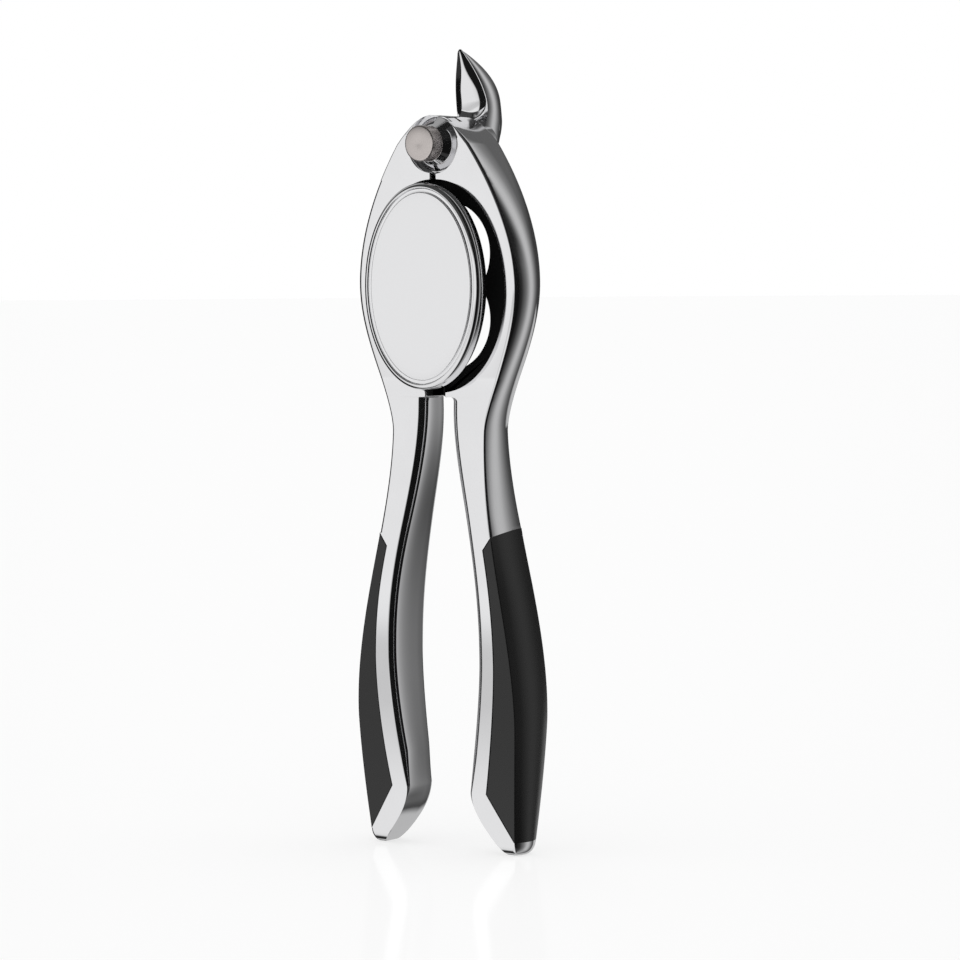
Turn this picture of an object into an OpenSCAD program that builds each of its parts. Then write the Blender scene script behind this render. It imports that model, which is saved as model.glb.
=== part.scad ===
// Champagne opener: two chromed arms hinged at the top, an oval jaw with rubber
// liners, a cover disc that stops the cork, soft grips and a hook for the wire.
// X runs across the arms, Y from front to back and Z up from the two toes.

/* [Hinge] */
// Height of the hinge axis above the toes
pin_z = 175.6; // [172:0.2:180]
// Radius of the round lug on each arm
lug_r = 7.1; // [6.6:0.1:7.6]
// Radius of the pin's shank
pin_r = 3; // [2.4:0.1:3.2]
// Radius of the pin's head
pin_head_r = 4.4; // [4:0.1:5]
// How far the pin's head stands in front of the front lug
pin_head_out = 7.4; // [5:0.1:9]
// Thickness of the front lug
front_lug_t = 3.6; // [2.8:0.1:4.5]
// Depth of the round recess in front of the front lug
lug_sink = 2.2; // [1.4:0.1:2.8]
// Gap between a lug and the recess that it turns in
lug_gap = 0.3; // [0.2:0.05:0.5]
// Wall of the bush that the pin turns in
bush_wall = 1; // [0.8:0.1:1.1]
// Thickness of the washer between the lugs
thrust_t = 0.5; // [0.3:0.1:0.8]
// Thickness of the spring washer
wave_t = 0.5; // [0.3:0.1:0.7]
// Thickness of the retaining clip
clip_t = 0.8; // [0.5:0.1:1]
// Radius of the collar's foot
collar_r = 6.1; // [5.6:0.1:6.6]
// Height of the collar
collar_h = 4.4; // [3:0.1:4.8]

/* [Arms] */
// Height of the middle of the jaw
head_z = 140.5; // [138:0.5:143]
// Half width of the head on its front face
head_x = 23.9; // [22.5:0.1:26]
// Height of the waist under the jaw
waist_z = 104.5; // [100:0.5:106]
// Half width at the waist on the front face
waist_x = 14.2; // [13:0.1:16]
// Height of the widest place of the handles
swell_z = 33; // [28:0.5:38]
// Half width there on the front face
swell_x = 24.25; // [22:0.05:26]
// Height of the widest gap between the handles
hollow_z = 48; // [44:0.5:54]
// Half of that gap on the front face
hollow_x = 14.4; // [13:0.1:15.5]
// Half of the gap between the handles under the jaw
throat_x = 5.75; // [5.2:0.05:6.5]
// Height of the inner corner where a handle turns into its toe
corner_z = 15; // [12:0.5:18]
// Half of the gap between the handles at that corner
corner_x = 10; // [9:0.1:11]
// Inner edge of the flat that a toe stands on
toe_in_x = 18.6; // [17.6:0.1:19]
// How far the handle tapers from its widest place to the toe
toe_taper = 2.3; // [1.5:0.1:3]
// Height of the round outer corner of a toe
toe_round_h = 3; // [2:0.1:3.3]
// Width of that corner
toe_round_w = 1.2; // [0.6:0.1:1.6]
// Depth of the arms at the hinge
hinge_d = 13.6; // [12.6:0.1:15]
// Least depth, at the lower jaw
neck_d = 9.4; // [8.2:0.1:10]
// Height of that place
neck_z = 117.5; // [114:0.5:121]
// Greatest depth of a handle
handle_d = 15.2; // [13:0.1:16]
// Height of that place
handle_d_z = 54; // [48:0.5:60]
// Depth of a toe
toe_d = 8.6; // [7:0.1:9.5]
// How far the outer sides of the handles swell out
side_bulge = 1.6; // [0.8:0.1:2.2]
// How far they swell out at the neck
neck_bulge = 0.9; // [0.6:0.1:1.6]
// How far they swell out beside the jaw
head_bulge = 2.2; // [1.4:0.1:2.4]
// Radius of the round inner front edge of a handle
edge_r = 2.5; // [1.8:0.05:3]
// Radius of that edge under the jaw
throat_r = 3.3; // [2.6:0.05:3.6]
// How far the left arm's front edge keeps back under the jaw
throat_left = 0.7; // [0:0.05:1]
// How far the right arm's front edge comes forward under the jaw
throat_right = 0.65; // [0:0.05:0.8]
// How far the rear inner edges come forward under the jaw
throat_back = 0.65; // [0:0.05:0.8]
// Rounding of the lower end of a toe
toe_end_r = 1.5; // [0.8:0.1:1.7]
// Slit between the arms under the hinge
slit_w = 1.3; // [1:0.1:1.6]
// Height of the underside of the noses that close the jaw
nose_z = 113; // [112.4:0.1:113.2]
// Distance of the right nose's rubber end from the mid line
nose_right_x = 1.2; // [1:0.05:1.4]
// Distance of the left nose's rubber end from the mid line
nose_left_x = 3.3; // [3.1:0.05:3.6]

/* [Jaw] */
// Half width of the oval jaw opening
jaw_a = 20.7; // [20:0.1:21.2]
// Half height of the oval jaw opening
jaw_b = 26.4; // [25.6:0.1:26.8]
// Depth of a rubber liner
liner_d = 6.2; // [5.5:0.1:6.4]
// Radius of the two round hollows in a liner
lobe_r = 12.7; // [12:0.1:13.4]
// Distance between the middles of those hollows
lobe_pitch = 16.2; // [14:0.1:18]
// Distance of the hollows' middles from the mid line
lobe_x = 1.95; // [1.6:0.05:2.8]
// Distance of the ridge between the hollows from the mid line
ridge_x = 12.2; // [11.8:0.1:12.8]
// Thickness of the lip that a liner lays over the end of its nose
lip_t = 0.6; // [0.4:0.05:0.8]
// Depth of that lip
lip_d = 8.6; // [7:0.1:9]
// Height of that lip
lip_h = 6; // [4:0.5:7]
// Height of the tongue on the liner's back
tongue_h = 1.2; // [0.6:0.1:1.6]
// Depth of that tongue
tongue_d = 2.4; // [1.6:0.1:3]

/* [Cover disc] */
// Half width of the disc
disc_a = 17.7; // [17:0.1:18.4]
// Half height of the disc
disc_b = 25.5; // [24.6:0.1:26]
// Thickness of the disc
disc_t = 4; // [3:0.1:4.6]
// Distance from the arm's seat to the back of the disc
disc_lift = 3.6; // [3.4:0.1:5]
// Width of the rim round the face plate
rim_w = 2.2; // [1.6:0.1:3]
// Thickness of the face plate
plate_t = 0.9; // [0.6:0.1:1.2]
// Rounding of the disc's front edge
rim_round = 1.2; // [0.6:0.1:1.5]
// Distance between the two bosses on the disc's back
boss_pitch = 18; // [14:0.5:20]
// Distance of the bosses from the mid line
boss_x = 13.6; // [13:0.1:14]
// Radius of a boss
boss_r = 2.4; // [2:0.1:2.8]
// Radius of a screw's shank
screw_r = 1.1; // [0.8:0.1:1.3]
// Thickness of the ledge on the left arm that carries the disc
ledge_t = 1.3; // [1.2:0.1:1.4]
// Width of that ledge
ledge_w = 10.2; // [10:0.1:11]
// Half height of that ledge
ledge_half_h = 13; // [12:0.5:14]

/* [Grips] */
// Height of a grip's lower end
grip_foot_z = 3.4; // [3.4:0.1:5]
// Height of a grip's upper end
grip_head_z = 78.8; // [74:0.2:84]
// Length of the slant at the upper end
grip_slant_h = 3.2; // [2:0.1:5]
// Width of the bare strip along the inner edge, at its lower end
strip_low_w = 4.6; // [4:0.1:5.4]
// Width of that strip at its upper end
strip_high_w = 3.2; // [2.6:0.1:4]
// Radius of the pegs that hold a grip
peg_r = 2; // [1.4:0.1:2.6]
// Length of those pegs
peg_l = 2.4; // [1.6:0.1:2.8]
// Height of the lowest peg
peg_z = 30; // [26:0.5:34]
// Distance from peg to peg
peg_pitch = 19; // [16:0.5:20]

/* [Wire hook] */
// Height of the hook's tip above the hinge axis
hook_h = 23.9; // [20:0.1:28]
// Half width of the hook
hook_w = 4.6; // [3.8:0.1:5]
// Place of the hook's dished front, behind the middle of the arms
hook_front_y = 10.9; // [10:0.1:12]
// Place of the hook's back where it is thickest
hook_back_y = 20.5; // [18:0.1:22]
// Place of its back at the hinge axis
hook_root_y = 16.6; // [15:0.1:18]
// How far the tip reaches forward
hook_reach = 5.5; // [4:0.1:7]
// Depth of the dish in the front of the hook
dish_d = 2.2; // [1:0.1:2.6]
// Radius of the hook's hub
hub_r = 6.2; // [5.8:0.1:6.8]
// Place of the hub's back
hub_back_y = 13.2; // [12.8:0.1:14]
// Radius of the pocket for the clip
pocket_r = 4.2; // [4:0.1:4.6]
// Thickness of the hub under the clip
hub_floor_t = 4; // [3.4:0.1:4.4]
// Radius of the dowels that hold the hub
dowel_r = 0.8; // [0.6:0.1:0.9]
// Distance of the dowels from the hinge axis
dowel_x = 5.1; // [5:0.1:5.3]
// Length of a dowel
dowel_l = 4; // [3:0.1:5]

/* [Fits] */
// Gap between pieces that are fixed together
seat_gap = 0.03; // [0.02:0.01:0.06]
// Gap round the turning pin
run_gap = 0.04; // [0.02:0.01:0.08]

/* [Hidden] */
$fn = 64;

chrome = [0.80, 0.80, 0.82];
steel = [0.66, 0.63, 0.61];
rubber = [0.07, 0.07, 0.07];
soft_black = [0.17, 0.17, 0.17];
satin = [0.88, 0.88, 0.89];
bronze = [0.62, 0.47, 0.28];

// How quickly each outline bends between the places named above
head_ease = 0.83;
shoulder_pow = 1.9;
hollow_ease = 1.19;
corner_pow = 1.6;
toe_pow = 1.3;
toe_turn_pow = 1.15;
handle_ease = 1.15;
foot_pow = 2;
fall_pow = 1.2;
throat_rise = 2.4;
throat_fillet = 1.4;
shoulder_x = 10.9;
shoulder_pull = 1.5;

// The round inner edge: from and to which direction it turns, where it starts and
// grows, how far under the jaw it widens, its least radius and that in the jaw
edge_from = 31;
edge_to = 79;
edge_start = 0.6;
edge_grow = 9;
edge_pow = 0.7;
throat_from = 14;
throat_to = 5;
least_r = 0.3;
jaw_edge_r = 0.64;
least_fall = 0.05;

// Between which heights the handles' swell turns into the neck's, how far the swell
// beside the jaw reaches, and how far above the grips the throat starts
bulge_low_z = 60;
bulge_high_z = 86;
bulge_reach = 26;
throat_above = 3;
collar_edge = 0.25;

// How far the rounding of a toe's end draws in its front and back, its inner side and
// its swell, as shares of that rounding
toe_front_share = 1.3;
toe_inner_share = 0.4;
toe_swell_share = 0.5;

// How far the crown goes up the lug, and the rise of a liner's lip above the nose
crown_share = 0.97;
lip_rise = 0.25;

// Share of the hook's height where it is thickest, its thickness at the tip, the
// bend of its back and sides, and how much wider it is at the hinge axis
hook_belly = 0.36;
hook_tip_t = 0.6;
hook_back_pow = 2.1;
hook_side_pow = 3;
hook_front_pow = 2.2;
hook_root_w = 0.5;
hook_tip_y = hook_front_y - hook_reach + hook_tip_t;

// Front-to-back places, counted from the middle of the arms
face_y = -hinge_d / 2;
lug_front_y = face_y + lug_sink;
lug_back_y = lug_front_y + front_lug_t;
rear_lug_y = lug_back_y + thrust_t + 2 * seat_gap;
hinge_back_y = hinge_d / 2;
pin_face_y = lug_front_y - pin_head_out;
hub_front_y = hinge_back_y + seat_gap;
pocket_y = hub_front_y + hub_floor_t;
wave_y = pocket_y + seat_gap;
clip_y = wave_y + wave_t + seat_gap;
clip_depth = 0.8;
clip_out = 0.8;
pin_end_y = clip_y + clip_t + 0.6;
ledge_y = -liner_d / 2 - seat_gap - ledge_t;
disc_back_y = ledge_y - disc_lift;
disc_front_y = disc_back_y - disc_t;
plate_gap = 0.1;
screw_head_r = 2.1;
screw_head_h = 1.1;
screw_l = 4.6;
boss_drill = 3.4;

// The whole object is moved so that its origin is under the middle of its box
frame_y = -(min(pin_face_y, disc_front_y) + hook_back_y) / 2;

// Smallest step between two sections, where an outline has a ledge
ledge_step = 0.02;
through = 40;
side_steps = 8;
face_steps = 3;
edge_steps = 3;

function mix(a, b, t) = a + (b - a) * t;
function clip01(t) = max(0, min(1, t));
function share(z, z0, z1) = clip01((z - z0) / (z1 - z0));
function smooth(t) = t * t * (3 - 2 * t);
// Smooth run from one value to another, level at both ends
function run(z, z0, a, z1, b, ease = 1) = mix(a, b, smooth(pow(share(z, z0, z1), ease)));
// Run that is level at its start and bends away after it
function bend(z, z0, a, z1, b, power) = mix(a, b, pow(share(z, z0, z1), power));

// Half width of the front face at a height
function crease_x(z) =
    z < toe_round_h ? crease_x(toe_round_h)
        - toe_round_w * (1 - sqrt(1 - pow(1 - z / toe_round_h, 2)))
    : z < swell_z ? bend(z, swell_z, swell_x, 0, swell_x - toe_taper, toe_pow)
    : z < waist_z ? run(z, swell_z, swell_x, waist_z, waist_x)
    : z < head_z ? run(z, waist_z, waist_x, head_z, head_x, head_ease)
    : z < pin_z ? bend(z, head_z, head_x, pin_z, shoulder_x, shoulder_pow)
    : let (rise = min(1, (z - pin_z) / lug_r))
        lug_r * sqrt(1 - rise * rise) + (shoulder_x - lug_r) * pow(1 - rise, shoulder_pull);

// Half of the gap between the handles at a height, on the front face
function handle_in_x(z) =
    z < corner_z ? mix(toe_in_x, corner_x, pow(sin(90 * z / corner_z), toe_turn_pow))
    : z < hollow_z ? bend(z, hollow_z, hollow_x, corner_z, corner_x, corner_pow)
    : run(z, hollow_z, hollow_x, nose_z - throat_rise, throat_x, hollow_ease);

// Depth of the arms at a height
function depth(z) =
    z < handle_d_z ? bend(z, handle_d_z, handle_d, 0, toe_d, foot_pow)
    : z < neck_z ? run(z, handle_d_z, handle_d, neck_z, neck_d, handle_ease)
    : mix(neck_d, hinge_d, share(z, neck_z, pin_z));

// Radius of the handles' inner front edge, which runs out at the toe
function edge_radius(z) = max(least_r,
    edge_r * pow(share(z, corner_z - edge_start, corner_z + edge_grow), edge_pow)
    + (throat_r - edge_r) * smooth(share(z, hollow_z + throat_from, nose_z - throat_to)));

// Inner edges in front and behind, which part from each other under the jaw
function throat_share(z) = smooth(share(z, grip_head_z + throat_above, nose_z - throat_rise));
function front_in_x(z, shift) = handle_in_x(z) + shift * throat_share(z);
function back_in_x(z) = handle_in_x(z) - throat_back * throat_share(z);

// How far the outer side swells out at a height
function bulge(z) = run(z, bulge_low_z, side_bulge, bulge_high_z, neck_bulge)
    + (head_bulge - neck_bulge) * smooth(1 - min(1, abs(z - head_z) / bulge_reach));

// Line where a grip meets the bare strip of metal
function strip_w(z) = mix(strip_low_w, strip_high_w, share(z, corner_z, grip_head_z - grip_slant_h));
function grip_line_x(z) =
    let (low = corner_z, high = grip_head_z - grip_slant_h)
    z < low ? mix(crease_x(grip_foot_z), handle_in_x(low) + strip_w(low), share(z, grip_foot_z, low))
    : z < high ? handle_in_x(z) + strip_w(z)
    : mix(handle_in_x(high) + strip_w(high), crease_x(grip_head_z), share(z, high, grip_head_z));

// Width that the round inner edge takes up
function edge_w(r) = r * (sin(edge_to) - sin(edge_from));

// Inner side from the back to the front: a face that falls away, then the round edge
function inner_side(in_x, back_x, h, r) =
    let (fold_x = in_x - edge_w(r), fold_y = -h + r * (cos(edge_from) - cos(edge_to)))
    concat(
        [for (k = [0:face_steps - 1]) let (s = 1 - k / face_steps)
            [mix(fold_x, back_x, pow(s, fall_pow)), mix(fold_y, h, s)]],
        [for (k = [0:edge_steps - 1]) let (a = mix(edge_to, edge_from, k / edge_steps))
            [in_x - r * (sin(a) - sin(edge_from)), -h + r * (cos(edge_from) - cos(a))]]
    );

// Outer side that swells between its two creases
function outer_side(out_x, h, swell) =
    [for (k = [0:side_steps]) let (t = 2 * k / side_steps - 1) [out_x + swell * (1 - t * t), h * t]];

function level(points, z) = [for (p = points) [p[0], p[1], z]];
function section(z, h, in_x, back_x, r, out_x, swell) =
    level(concat([[in_x, -h]], outer_side(out_x, h, swell), inner_side(in_x, back_x, h, r)), z);

function bare_section(z, shift) =
    section(z, depth(z) / 2, front_in_x(z, shift), back_in_x(z), edge_radius(z), crease_x(z), bulge(z));
function core_section(z) =
    section(z, depth(z) / 2, handle_in_x(z), handle_in_x(z), edge_radius(z), grip_line_x(z) - seat_gap, 0);
function toe_section(a) =
    let (z = grip_foot_z * (1 - cos(a)), inset = toe_end_r * (1 - sin(a)))
    let (in_x = handle_in_x(z) + toe_inner_share * inset)
    section(z, depth(z) / 2 - toe_front_share * inset, in_x, in_x, edge_radius(z),
        crease_x(z), side_bulge * (1 - toe_swell_share * inset / toe_end_r));
function throat_section(a, nose_x, shift) =
    let (z = nose_z - ledge_step - throat_fillet * (1 - sin(a)), turn = 1 - cos(a))
    let (reach = min(throat_fillet, front_in_x(z, shift) - nose_x - edge_w(jaw_edge_r)))
    section(z, depth(z) / 2, front_in_x(z, shift) - reach * turn, back_in_x(z) - reach * turn,
        mix(edge_radius(z), jaw_edge_r, turn), crease_x(z), bulge(z));
function head_section(z, nose_x) =
    let (flat_x = z < head_z ? nose_x : slit_w / 2)
    section(z, depth(z) / 2, flat_x + edge_w(jaw_edge_r), flat_x + least_fall, jaw_edge_r,
        crease_x(z), bulge(z));
function grip_section(z) =
    let (h = depth(z) / 2, in_x = grip_line_x(z) + seat_gap, out_x = max(crease_x(z), in_x + ledge_step))
    level(concat([[in_x, -h]], outer_side(out_x, h, bulge(z)), [[in_x, h]]), z);

function heights(from, to, steps) = [for (k = [0:steps]) mix(from, to, k / steps)];

// Solid through a list of level sections with equal numbers of points
module loft(sections) {
    count = len(sections[0]);
    last = len(sections) - 1;
    sides = [
        for (i = [0:last - 1], k = [0:count - 1])
            let (a = i * count + k, b = i * count + (k + 1) % count)
            each [[a, a + count, b + count], [a, b + count, b]]
    ];
    floor_face = [for (k = [0:count - 1]) k];
    top_face = [for (k = [count - 1:-1:0]) last * count + k];
    polyhedron(points = [for (s = sections) each s], faces = concat([floor_face], sides, [top_face]));
}

// Round bar along Y between two places
module bar(r, from_y, to_y) {
    translate([0, from_y, 0]) rotate([-90, 0, 0]) cylinder(r = r, h = to_y - from_y);
}

// Bar whose radius changes from one end to the other
module taper(r_from, r_to, from_y, to_y) {
    translate([0, from_y, 0]) rotate([-90, 0, 0]) cylinder(r1 = r_from, r2 = r_to, h = to_y - from_y);
}

// Flat outline in X and Z, as a plate between two places along Y
module plate(from_y, to_y) {
    translate([0, to_y, 0]) rotate([90, 0, 0]) linear_extrude(height = to_y - from_y) children();
}

module oval(a, b) {
    polygon([for (k = [0:71]) [a * cos(5 * k), b * sin(5 * k)]]);
}

module at_hinge() {
    translate([0, 0, pin_z]) children();
}

module at_jaw() {
    translate([0, 0, head_z]) children();
}

// Arm before its hinge and seats are cut, on the right-hand side
module arm_blank(nose_x, shift) {
    toe = [for (a = [0:18:90]) toe_section(a)];
    core = [for (z = heights(grip_foot_z + ledge_step, grip_head_z, 30)) core_section(z)];
    bare = [for (z = heights(grip_head_z + ledge_step, nose_z - throat_rise, 8))
        bare_section(z, shift)];
    throat = [for (a = [0:30:90]) throat_section(a, nose_x, shift)];
    head = [for (z = heights(nose_z, pin_z, 22)) head_section(z, nose_x)];
    crown = [for (z = heights(pin_z + 1, pin_z + crown_share * lug_r, 6)) head_section(z, nose_x)];
    loft(concat(toe, core, bare, throat, head, crown));
}

// What both arms lose: the jaw, the groove for the liner and the sockets for the pegs
module arm_cuts() {
    at_jaw() {
        plate(-through, through) oval(jaw_a, jaw_b);
        intersection() {
            plate(-tongue_d / 2 - seat_gap, tongue_d / 2 + seat_gap)
                oval(jaw_a + tongue_h + seat_gap, jaw_b + tongue_h + seat_gap);
            tongue_zone(seat_gap);
        }
    }
    for (k = [0:2]) {
        peg(k, peg_r + seat_gap, peg_l + seat_gap, 1);
    }
}

// The tongue stops short of the thin ends of the jaw
module tongue_zone(extra) {
    half_h = 0.7 * jaw_b + extra;
    translate([0, -through, -half_h]) cube([through, 2 * through, 2 * half_h]);
}

// Peg of a grip, from its root in the grip to its tip in the arm
module peg(k, r, reach, root) {
    z = peg_z + k * peg_pitch;
    translate([grip_line_x(z) - reach, 0, z]) rotate([0, 90, 0]) cylinder(r = r, h = reach + root);
}

// Ledge behind the cover disc, as a flat outline
module ledge_outline() {
    intersection() {
        difference() {
            oval(jaw_a + 0.6, jaw_b + 0.6);
            oval(jaw_a - ledge_w, jaw_b - ledge_w);
        }
        translate([-through, -ledge_half_h]) square([through, 2 * ledge_half_h]);
    }
}

module at_screws() {
    for (side = [-1, 1]) {
        at_jaw() translate([-boss_x, 0, side * boss_pitch / 2]) children();
    }
}

module screw_shape(extra) {
    head_back_y = ledge_y + ledge_t - 0.05;
    taper(screw_r + extra, screw_head_r + extra, head_back_y - screw_head_h, head_back_y);
    bar(screw_r + extra, head_back_y - screw_l, head_back_y - screw_head_h / 2);
}

module left_arm() {
    color(chrome) difference() {
        union() {
            difference() {
                mirror([1, 0, 0]) difference() {
                    arm_blank(nose_left_x + lip_t, throat_left);
                    arm_cuts();
                }
                at_hinge() {
                    bar(lug_r, -through, lug_front_y);
                    bar(lug_r + lug_gap, lug_back_y, through);
                }
            }
            at_hinge() bar(lug_r, lug_front_y, lug_back_y);
            at_jaw() plate(ledge_y, ledge_y + ledge_t) ledge_outline();
        }
        at_hinge() bar(pin_r + seat_gap, -through, through);
        at_screws() screw_shape(seat_gap);
        at_screws() bar(screw_head_r + seat_gap, ledge_y + ledge_t - 0.1, ledge_y + ledge_t + 1);
    }
}

module right_arm() {
    color(chrome) difference() {
        union() {
            difference() {
                arm_blank(nose_right_x + lip_t, -throat_right);
                arm_cuts();
                at_hinge() bar(lug_r + lug_gap, -through, rear_lug_y);
            }
            at_hinge() bar(lug_r, rear_lug_y, hinge_back_y);
        }
        at_hinge() bar(pin_r + run_gap + bush_wall + seat_gap, -through, through);
        at_hinge() at_dowels() bar(dowel_r + seat_gap, hub_front_y - dowel_l / 2 - seat_gap, through);
    }
}

module grip() {
    zs = heights(grip_foot_z + ledge_step + seat_gap, grip_head_z - seat_gap, 30);
    color(soft_black) union() {
        loft([for (z = zs) grip_section(z)]);
        for (k = [0:2]) {
            peg(k, peg_r, peg_l, 1);
        }
    }
}

module left_grip() {
    mirror([1, 0, 0]) grip();
}

module right_grip() {
    grip();
}

// Rubber liner on the right-hand side, with its tongue, two hollows, the ridge between
// them and the lip over the end of the nose
module jaw_liner(end_x) {
    top_end_x = slit_w / 2 + 0.6;
    lip_z = nose_z + lip_rise - head_z;
    color(rubber) at_jaw() difference() {
        union() {
            plate(-liner_d / 2, liner_d / 2) oval(jaw_a - seat_gap, jaw_b - seat_gap);
            intersection() {
                plate(-tongue_d / 2, tongue_d / 2) oval(jaw_a + tongue_h, jaw_b + tongue_h);
                tongue_zone(0);
            }
            translate([end_x, -lip_d / 2, lip_z]) cube([lip_t - seat_gap, lip_d, lip_h]);
        }
        for (side = [-1, 1]) {
            translate([lobe_x, 0, side * lobe_pitch / 2]) bar(lobe_r, -through, through);
        }
        translate([ridge_x - through, -through, -lobe_pitch / 2]) cube([through, 2 * through, lobe_pitch]);
        translate([top_end_x - through, -through, 0]) cube([through, 2 * through, through]);
        translate([end_x - through, -through, -through]) cube([through, 2 * through, through]);
    }
}

module left_jaw_liner() {
    mirror([1, 0, 0]) jaw_liner(nose_left_x);
}

module right_jaw_liner() {
    jaw_liner(nose_right_x);
}

// Oval ring of points, drawn in from the disc's edge, at a place along Y
function disc_ring(inset, y) =
    [for (k = [0:47]) [(disc_a - inset) * cos(7.5 * k), (disc_b - inset) * sin(7.5 * k), -y]];

// Disc with a round front edge and a softer back edge
module disc_blank() {
    back_round = rim_round / 2;
    back = [for (a = [0:30:90])
        disc_ring(back_round * (1 - sin(a)), disc_back_y - back_round * (1 - cos(a)))];
    front = [for (a = [0:15:90])
        disc_ring(rim_round * (1 - cos(a)), disc_front_y + rim_round * (1 - sin(a)))];
    rotate([90, 0, 0]) loft(concat(back, front));
}

module disc_cup() {
    color(chrome) at_jaw() difference() {
        union() {
            disc_blank();
            for (side = [-1, 1]) {
                translate([-boss_x, 0, side * boss_pitch / 2])
                    bar(boss_r, disc_back_y - 1, ledge_y - seat_gap);
            }
        }
        plate(disc_front_y - 1, disc_front_y + plate_t) oval(disc_a - rim_w, disc_b - rim_w);
        for (side = [-1, 1]) {
            translate([-boss_x, 0, side * boss_pitch / 2])
                bar(screw_r + seat_gap, ledge_y - boss_drill, 0);
        }
    }
}

module disc_face() {
    color(satin) at_jaw() plate(disc_front_y, disc_front_y + plate_t - seat_gap)
        oval(disc_a - rim_w - plate_gap, disc_b - rim_w - plate_gap);
}

module disc_screws() {
    color(steel) at_screws() screw_shape(0);
}

module pivot_pin() {
    edge = 0.4;
    color(steel) at_hinge() difference() {
        union() {
            taper(pin_head_r - edge, pin_head_r, pin_face_y, pin_face_y + edge);
            bar(pin_head_r, pin_face_y + edge, lug_front_y - seat_gap);
            bar(pin_r, lug_front_y - 1, pin_end_y);
        }
        difference() {
            bar(pin_r + 1, clip_y - seat_gap, clip_y + clip_t + seat_gap);
            bar(pin_r - clip_depth, clip_y - 1, clip_y + clip_t + 1);
        }
    }
}

module pin_collar() {
    color(chrome) at_hinge() difference() {
        taper(pin_head_r + collar_edge, collar_r, lug_front_y - seat_gap - collar_h, lug_front_y - seat_gap);
        bar(pin_head_r + seat_gap, -through, through);
    }
}

module pivot_bush() {
    color(bronze) at_hinge() difference() {
        bar(pin_r + run_gap + bush_wall, rear_lug_y, hinge_back_y);
        bar(pin_r + run_gap, -through, through);
    }
}

module thrust_washer() {
    color(bronze) at_hinge() difference() {
        bar(lug_r - 0.4, lug_back_y + seat_gap, lug_back_y + seat_gap + thrust_t);
        bar(pin_r + seat_gap, -through, through);
    }
}

module wave_washer() {
    color(steel) at_hinge() difference() {
        bar(pocket_r - 0.3, wave_y, wave_y + wave_t);
        bar(pin_r + seat_gap, -through, through);
    }
}

// Open clip that snaps into the groove of the pin
module retaining_clip() {
    mouth = 1.6 * (pin_r - clip_depth);
    color(steel) at_hinge() difference() {
        bar(pin_r + clip_out, clip_y, clip_y + clip_t);
        bar(pin_r - clip_depth + seat_gap, -through, through);
        translate([-mouth / 2, 0, -through]) cube([mouth, through, through]);
    }
}

// Half width, front and back of the hook at a share of its height
function hook_half_w(t) =
    max(0.35, hook_w * sqrt(1 - pow(t, hook_side_pow))) + hook_root_w * (1 - smooth(share(t, 0, 0.3)));
function hook_front(t) = mix(hook_front_y, hook_front_y - hook_reach, pow(t, hook_front_pow));
function hook_back(t) =
    t < hook_belly ? mix(hook_root_y, hook_back_y, sin(90 * t / hook_belly))
    : mix(hook_back_y, hook_tip_y, pow(share(t, hook_belly, 1), hook_back_pow));

// Level section of the hook: dished in front, round behind
function hook_section(t) =
    let (w = hook_half_w(t), f = hook_front(t), b = hook_back(t), z = t * hook_h)
    let (fade = smooth(share(t, 0.28, 0.48)) * (1 - smooth(share(t, 0.45, 1))))
    let (dish = least_fall + min(dish_d, 0.4 * (b - f)) * fade)
    concat(
        [for (k = [0:7]) let (u = k / 4 - 1) [w * u, f + dish * (1 - u * u), z]],
        [for (k = [0:11]) let (a = 15 * k, side = cos(a))
            [w * sign(side) * pow(abs(side), 0.8), mix(f, b, pow(sin(a), 0.6)), z]]
    );

module at_dowels() {
    for (side = [-1, 1]) {
        translate([side * dowel_x, 0, 0]) children();
    }
}

module wire_hook() {
    color(chrome) at_hinge() difference() {
        union() {
            bar(hub_r, hub_front_y, hub_back_y);
            loft([for (k = [0:20]) hook_section(min(0.995, k / 20))]);
        }
        bar(pin_r + run_gap, -through, through);
        bar(pocket_r, pocket_y, through);
        at_dowels() bar(dowel_r + seat_gap, hub_front_y - 1, hub_front_y + dowel_l / 2 + seat_gap);
    }
}

module hook_dowels() {
    color(steel) at_hinge() at_dowels() bar(dowel_r, hub_front_y - dowel_l / 2, hub_front_y + dowel_l / 2);
}

module place() {
    translate([0, frame_y, 0]) children();
}

place() left_arm();
place() right_arm();
place() left_grip();
place() right_grip();
place() left_jaw_liner();
place() right_jaw_liner();
place() disc_cup();
place() disc_face();
place() disc_screws();
place() pivot_pin();
place() pin_collar();
place() pivot_bush();
place() thrust_washer();
place() wave_washer();
place() retaining_clip();
place() wire_hook();
place() hook_dowels();
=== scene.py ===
import math

import bmesh
import bpy
from mathutils import Matrix, Vector


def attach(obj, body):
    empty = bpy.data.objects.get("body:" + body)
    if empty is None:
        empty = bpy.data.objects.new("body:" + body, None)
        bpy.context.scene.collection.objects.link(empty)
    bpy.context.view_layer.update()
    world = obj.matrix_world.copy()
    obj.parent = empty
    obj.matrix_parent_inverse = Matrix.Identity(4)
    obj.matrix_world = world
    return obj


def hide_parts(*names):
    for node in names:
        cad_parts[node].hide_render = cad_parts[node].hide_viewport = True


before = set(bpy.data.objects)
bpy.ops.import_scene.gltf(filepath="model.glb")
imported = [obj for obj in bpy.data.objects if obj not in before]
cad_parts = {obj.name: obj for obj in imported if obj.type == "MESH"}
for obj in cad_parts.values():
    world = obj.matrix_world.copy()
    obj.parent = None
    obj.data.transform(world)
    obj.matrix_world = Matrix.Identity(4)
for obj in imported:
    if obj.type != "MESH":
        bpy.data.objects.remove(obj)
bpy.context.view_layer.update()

MM = 0.001

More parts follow.
